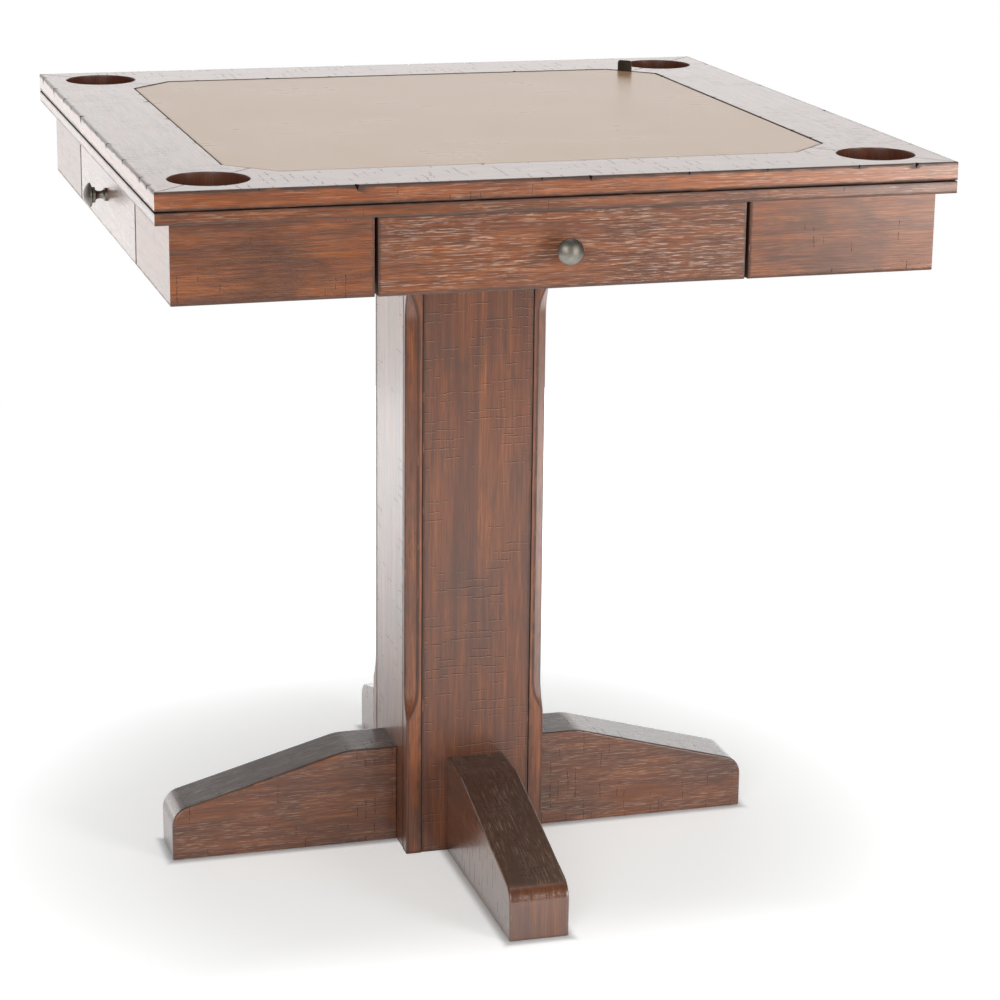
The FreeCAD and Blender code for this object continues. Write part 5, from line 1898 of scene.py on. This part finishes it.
@dataclass
class Studio:
    """The floor with its painted light and shade, the soft lights and the camera at the photograph's angle.
    """

    camera_at: Place = (-0.954, -3.495, 1.484)
    target: Place = (0.0553, 0.0, 0.4379)
    roll: float = 0.645
    lens: float = 106.42
    sensor: float = 36.0
    sight: float = 50.0
    floor_radius: float = 2.4
    floor_segments: int = 96
    floor_colour: Colour = (0.80, 0.84, 0.875, 1.0)
    floor_glow: Colour = (0.985, 1.0, 1.0, 1.0)
    floor_roughness: float = 0.6
    floor_specular: float = 0.2
    # The floor glows though it is no lamp: its glow is dimmed as painted shade near the table, and as painted
    # contact shadows along the legs.
    glow: float = 0.84
    near_glow: float = 0.57
    far_glow: float = 1.08
    shade_round: Point = (0.35, 0.95)
    shade_front: Point = (-0.56, -0.28)
    contact: float = 13 * MM
    contact_glow: float = 0.25
    rim_from: float = 0.5
    rim_to: float = 0.9
    rim_glow: float = 1.3
    rim_depth: Point = (-0.9, 0.3)
    rim_front: float = 0.2
    backdrop: float = 1.56
    ground: float = 1.03
    room: float = 0.08
    behind: Point = (0.15, 0.70)
    overhead: Point = (0.22, 0.40)
    horizon: Point = (-0.03, 0.05)
    room_colour: Colour = (1.0, 0.992, 0.982, 1.0)
    seen_colour: Colour = (1.0, 1.0, 1.0, 1.0)
    warm: Place = (1.0, 0.965, 0.925)

    def floor_light(self, web: NodeWeb) -> bpy.types.NodeSocket:
        """The floor's own glow, which paints light and shade: painted shade under the table, painted contact
        shadows at the legs, and painted light towards the rim.

        Args:
            web: the floor's tree.

        Returns:
            The strength's socket.
        """
        point = web.add("ShaderNodeTexCoord").outputs["Object"]
        length = web.add("ShaderNodeVectorMath", {0: point}, operation="LENGTH").outputs["Value"]
        across, depth, _ = web.axes(point)
        near, far = self.near_glow * self.glow, self.far_glow * self.glow
        # Painted shade: the glow is dimmest near the table's middle, and brighter outwards and in front of
        # the front leg.
        shade = web.span(length, *self.shade_round, near, far)
        shade = web.sum("MAXIMUM", shade, web.span(depth, *self.shade_front, far, near))
        # Painted contact shadows: the glow dims close to the legs' footprint.
        sides = [web.sum("ABSOLUTE", across), web.sum("ABSOLUTE", depth)]
        bars = [web.sum("MAXIMUM", web.less(along, Legs.reach), web.less(over, Legs.half_width))
                for along, over in (sides, sides[::-1])]
        painted_contact_shadow = web.span(web.sum("MINIMUM", *bars), 0.0, self.contact, self.contact_glow, 1.0)
        # Painted light: the glow rises towards the floor's rim, least in front.
        rim = web.span(length, self.rim_from, self.floor_radius * self.rim_to, 0.0, self.rim_glow)
        rim = web.times(rim, web.span(depth, *self.rim_depth, self.rim_front, 1.0))
        return web.plus(rim, web.times(shade, painted_contact_shadow))

    def floor(self) -> None:
        """Lays the floor as a wide disc, clear from below."""
        mesh = bmesh.new()
        bmesh.ops.create_circle(mesh, cap_ends=True, segments=self.floor_segments, radius=self.floor_radius)
        data = bpy.data.meshes.new("studio_floor")
        mesh.to_mesh(data)
        mesh.free()
        material = bpy.data.materials.new("studio_white")
        material.use_nodes = True
        web = NodeWeb(material.node_tree)
        inputs = {"Base Color": self.floor_colour, "Roughness": self.floor_roughness,
                  "Emission Color": self.floor_glow, "Emission Strength": self.floor_light(web),
                  "Specular IOR Level": self.floor_specular}
        shader = web.add("ShaderNodeBsdfPrincipled", inputs).outputs[0]
        under = web.add("ShaderNodeNewGeometry").outputs["Backfacing"]
        clear = web.add("ShaderNodeBsdfTransparent").outputs[0]
        mixed = web.add("ShaderNodeMixShader", {0: under, 1: shader, 2: clear}).outputs[0]
        web.add("ShaderNodeOutputMaterial", {"Surface": mixed})
        data.materials.append(material)
        piece = linked("studio_floor", data)

    def sky(self) -> None:
        """Sets the world: a white backdrop low all round the back, a dim room above and in front."""
        world = bpy.data.worlds.new("studio_room")
        bpy.context.scene.world = world
        world.use_nodes = True
        web = NodeWeb(world.node_tree)
        axes = web.axes(web.add("ShaderNodeTexCoord").outputs["Generated"])
        low = web.fade(axes[2], *self.overhead)
        strength = web.times(web.times(web.span(axes[1], *self.behind), low), self.backdrop - self.room)
        strength = web.times(strength, web.span(axes[2], *self.horizon, self.ground, 1.0))
        strength = web.plus(strength, self.room)
        lit = web.add("ShaderNodeBackground", {"Color": self.room_colour, "Strength": strength}).outputs[0]
        seen = web.add("ShaderNodeBackground", {"Color": self.seen_colour, "Strength": 1.0}).outputs[0]
        direct = web.add("ShaderNodeLightPath").outputs["Is Camera Ray"]
        mixed = web.add("ShaderNodeMixShader", {0: direct, 1: lit, 2: seen}).outputs[0]
        web.add("ShaderNodeOutputWorld", {"Surface": mixed})

    def lamps(self) -> list[Lamp]:
        """The three soft lights: one overhead, and two in front."""
        return [Lamp("overhead_softbox", at=(0.2, 0.3, 3.4), aim=(0.0, 0.0, 0.0), size=(3.2, 3.2),
                     power=28.0),
                Lamp("key_softbox", at=(2.1, -3.1, 0.95), aim=(0.0, 0.0, 0.6), size=(1.2, 1.5), power=66.0,
                     colour=self.warm),
                Lamp("fill_softbox", at=(-1.5, -3.2, 1.5), aim=(0.0, 0.0, 0.45), size=(1.6, 1.6), power=46.0,
                     colour=self.warm)]

    def camera(self) -> None:
        """Stands the camera at the photograph's angle."""
        data = bpy.data.cameras.new("photo_camera")
        data.lens = self.lens
        data.sensor_width = self.sensor
        data.clip_end = self.sight
        look = (Vector(self.target) - Vector(self.camera_at)).to_track_quat("-Z", "Y")
        camera = linked("photo_camera", data)
        camera.rotation_mode = "QUATERNION"
        camera.rotation_quaternion = look @ Quaternion((0.0, 0.0, 1.0), math.radians(self.roll))
        camera.location = self.camera_at
        bpy.context.scene.camera = camera

    def build(self) -> None:
        """Sets up the whole studio."""
        bpy.context.scene.view_settings.view_transform = "Standard"
        self.floor()
        self.sky()
        for lamp in self.lamps():
            lamp.hang()
        self.camera()


# Near-black matt stain: dark glaze in the nicks, and painted shade in the seam between the top's two layers.
NICK_GLAZE_AND_SEAM_SHADE = StainedWood("nick_stain", Grain.ALONG_X, (0.3, 0.9, 0.2), saw=0.0, brush=0.2, patch=1.0,
                         light=0.2, edge=0.0, wash=0.6, gloss=0.1)
# Near-black matt stain of the boards' ends beside each drawer: end grain, and painted shade of the gaps.
END_GRAIN_AND_GAP_SHADE = StainedWood("end_stain", Grain.ALONG_Z, (0.5, 0.3, 0.8), saw=0.0, brush=0.2, patch=0.9,
                        light=0.3, edge=0.0, wash=0.6, gloss=0.2)
PEWTER = Metal("pewter_aged", bright=(0.255, 0.240, 0.210, 1.0), patina=(0.165, 0.153, 0.133, 1.0),
               smooth=0.38, dull=0.48, size=60.0)
ZINC = Metal("zinc_plate", bright=(0.62, 0.62, 0.60, 1.0), patina=(0.40, 0.40, 0.39, 1.0),
             smooth=0.28, dull=0.40)


def main() -> None:
    """Builds the table's sub-assemblies and the studio."""
    logging.basicConfig(level=logging.INFO, format="%(name)s %(message)s")
    joiner = Joiner(NickCutters())
    TopFrame(joiner).build()
    Apron(joiner).build()
    for side in Side:
        Drawer(joiner, side).build()
    Column(joiner).build()
    Legs(joiner).build()
    FlipInsert(joiner).build()
    Underside(joiner).build()
    Studio().build()


if __name__ == "__main__":
    main()
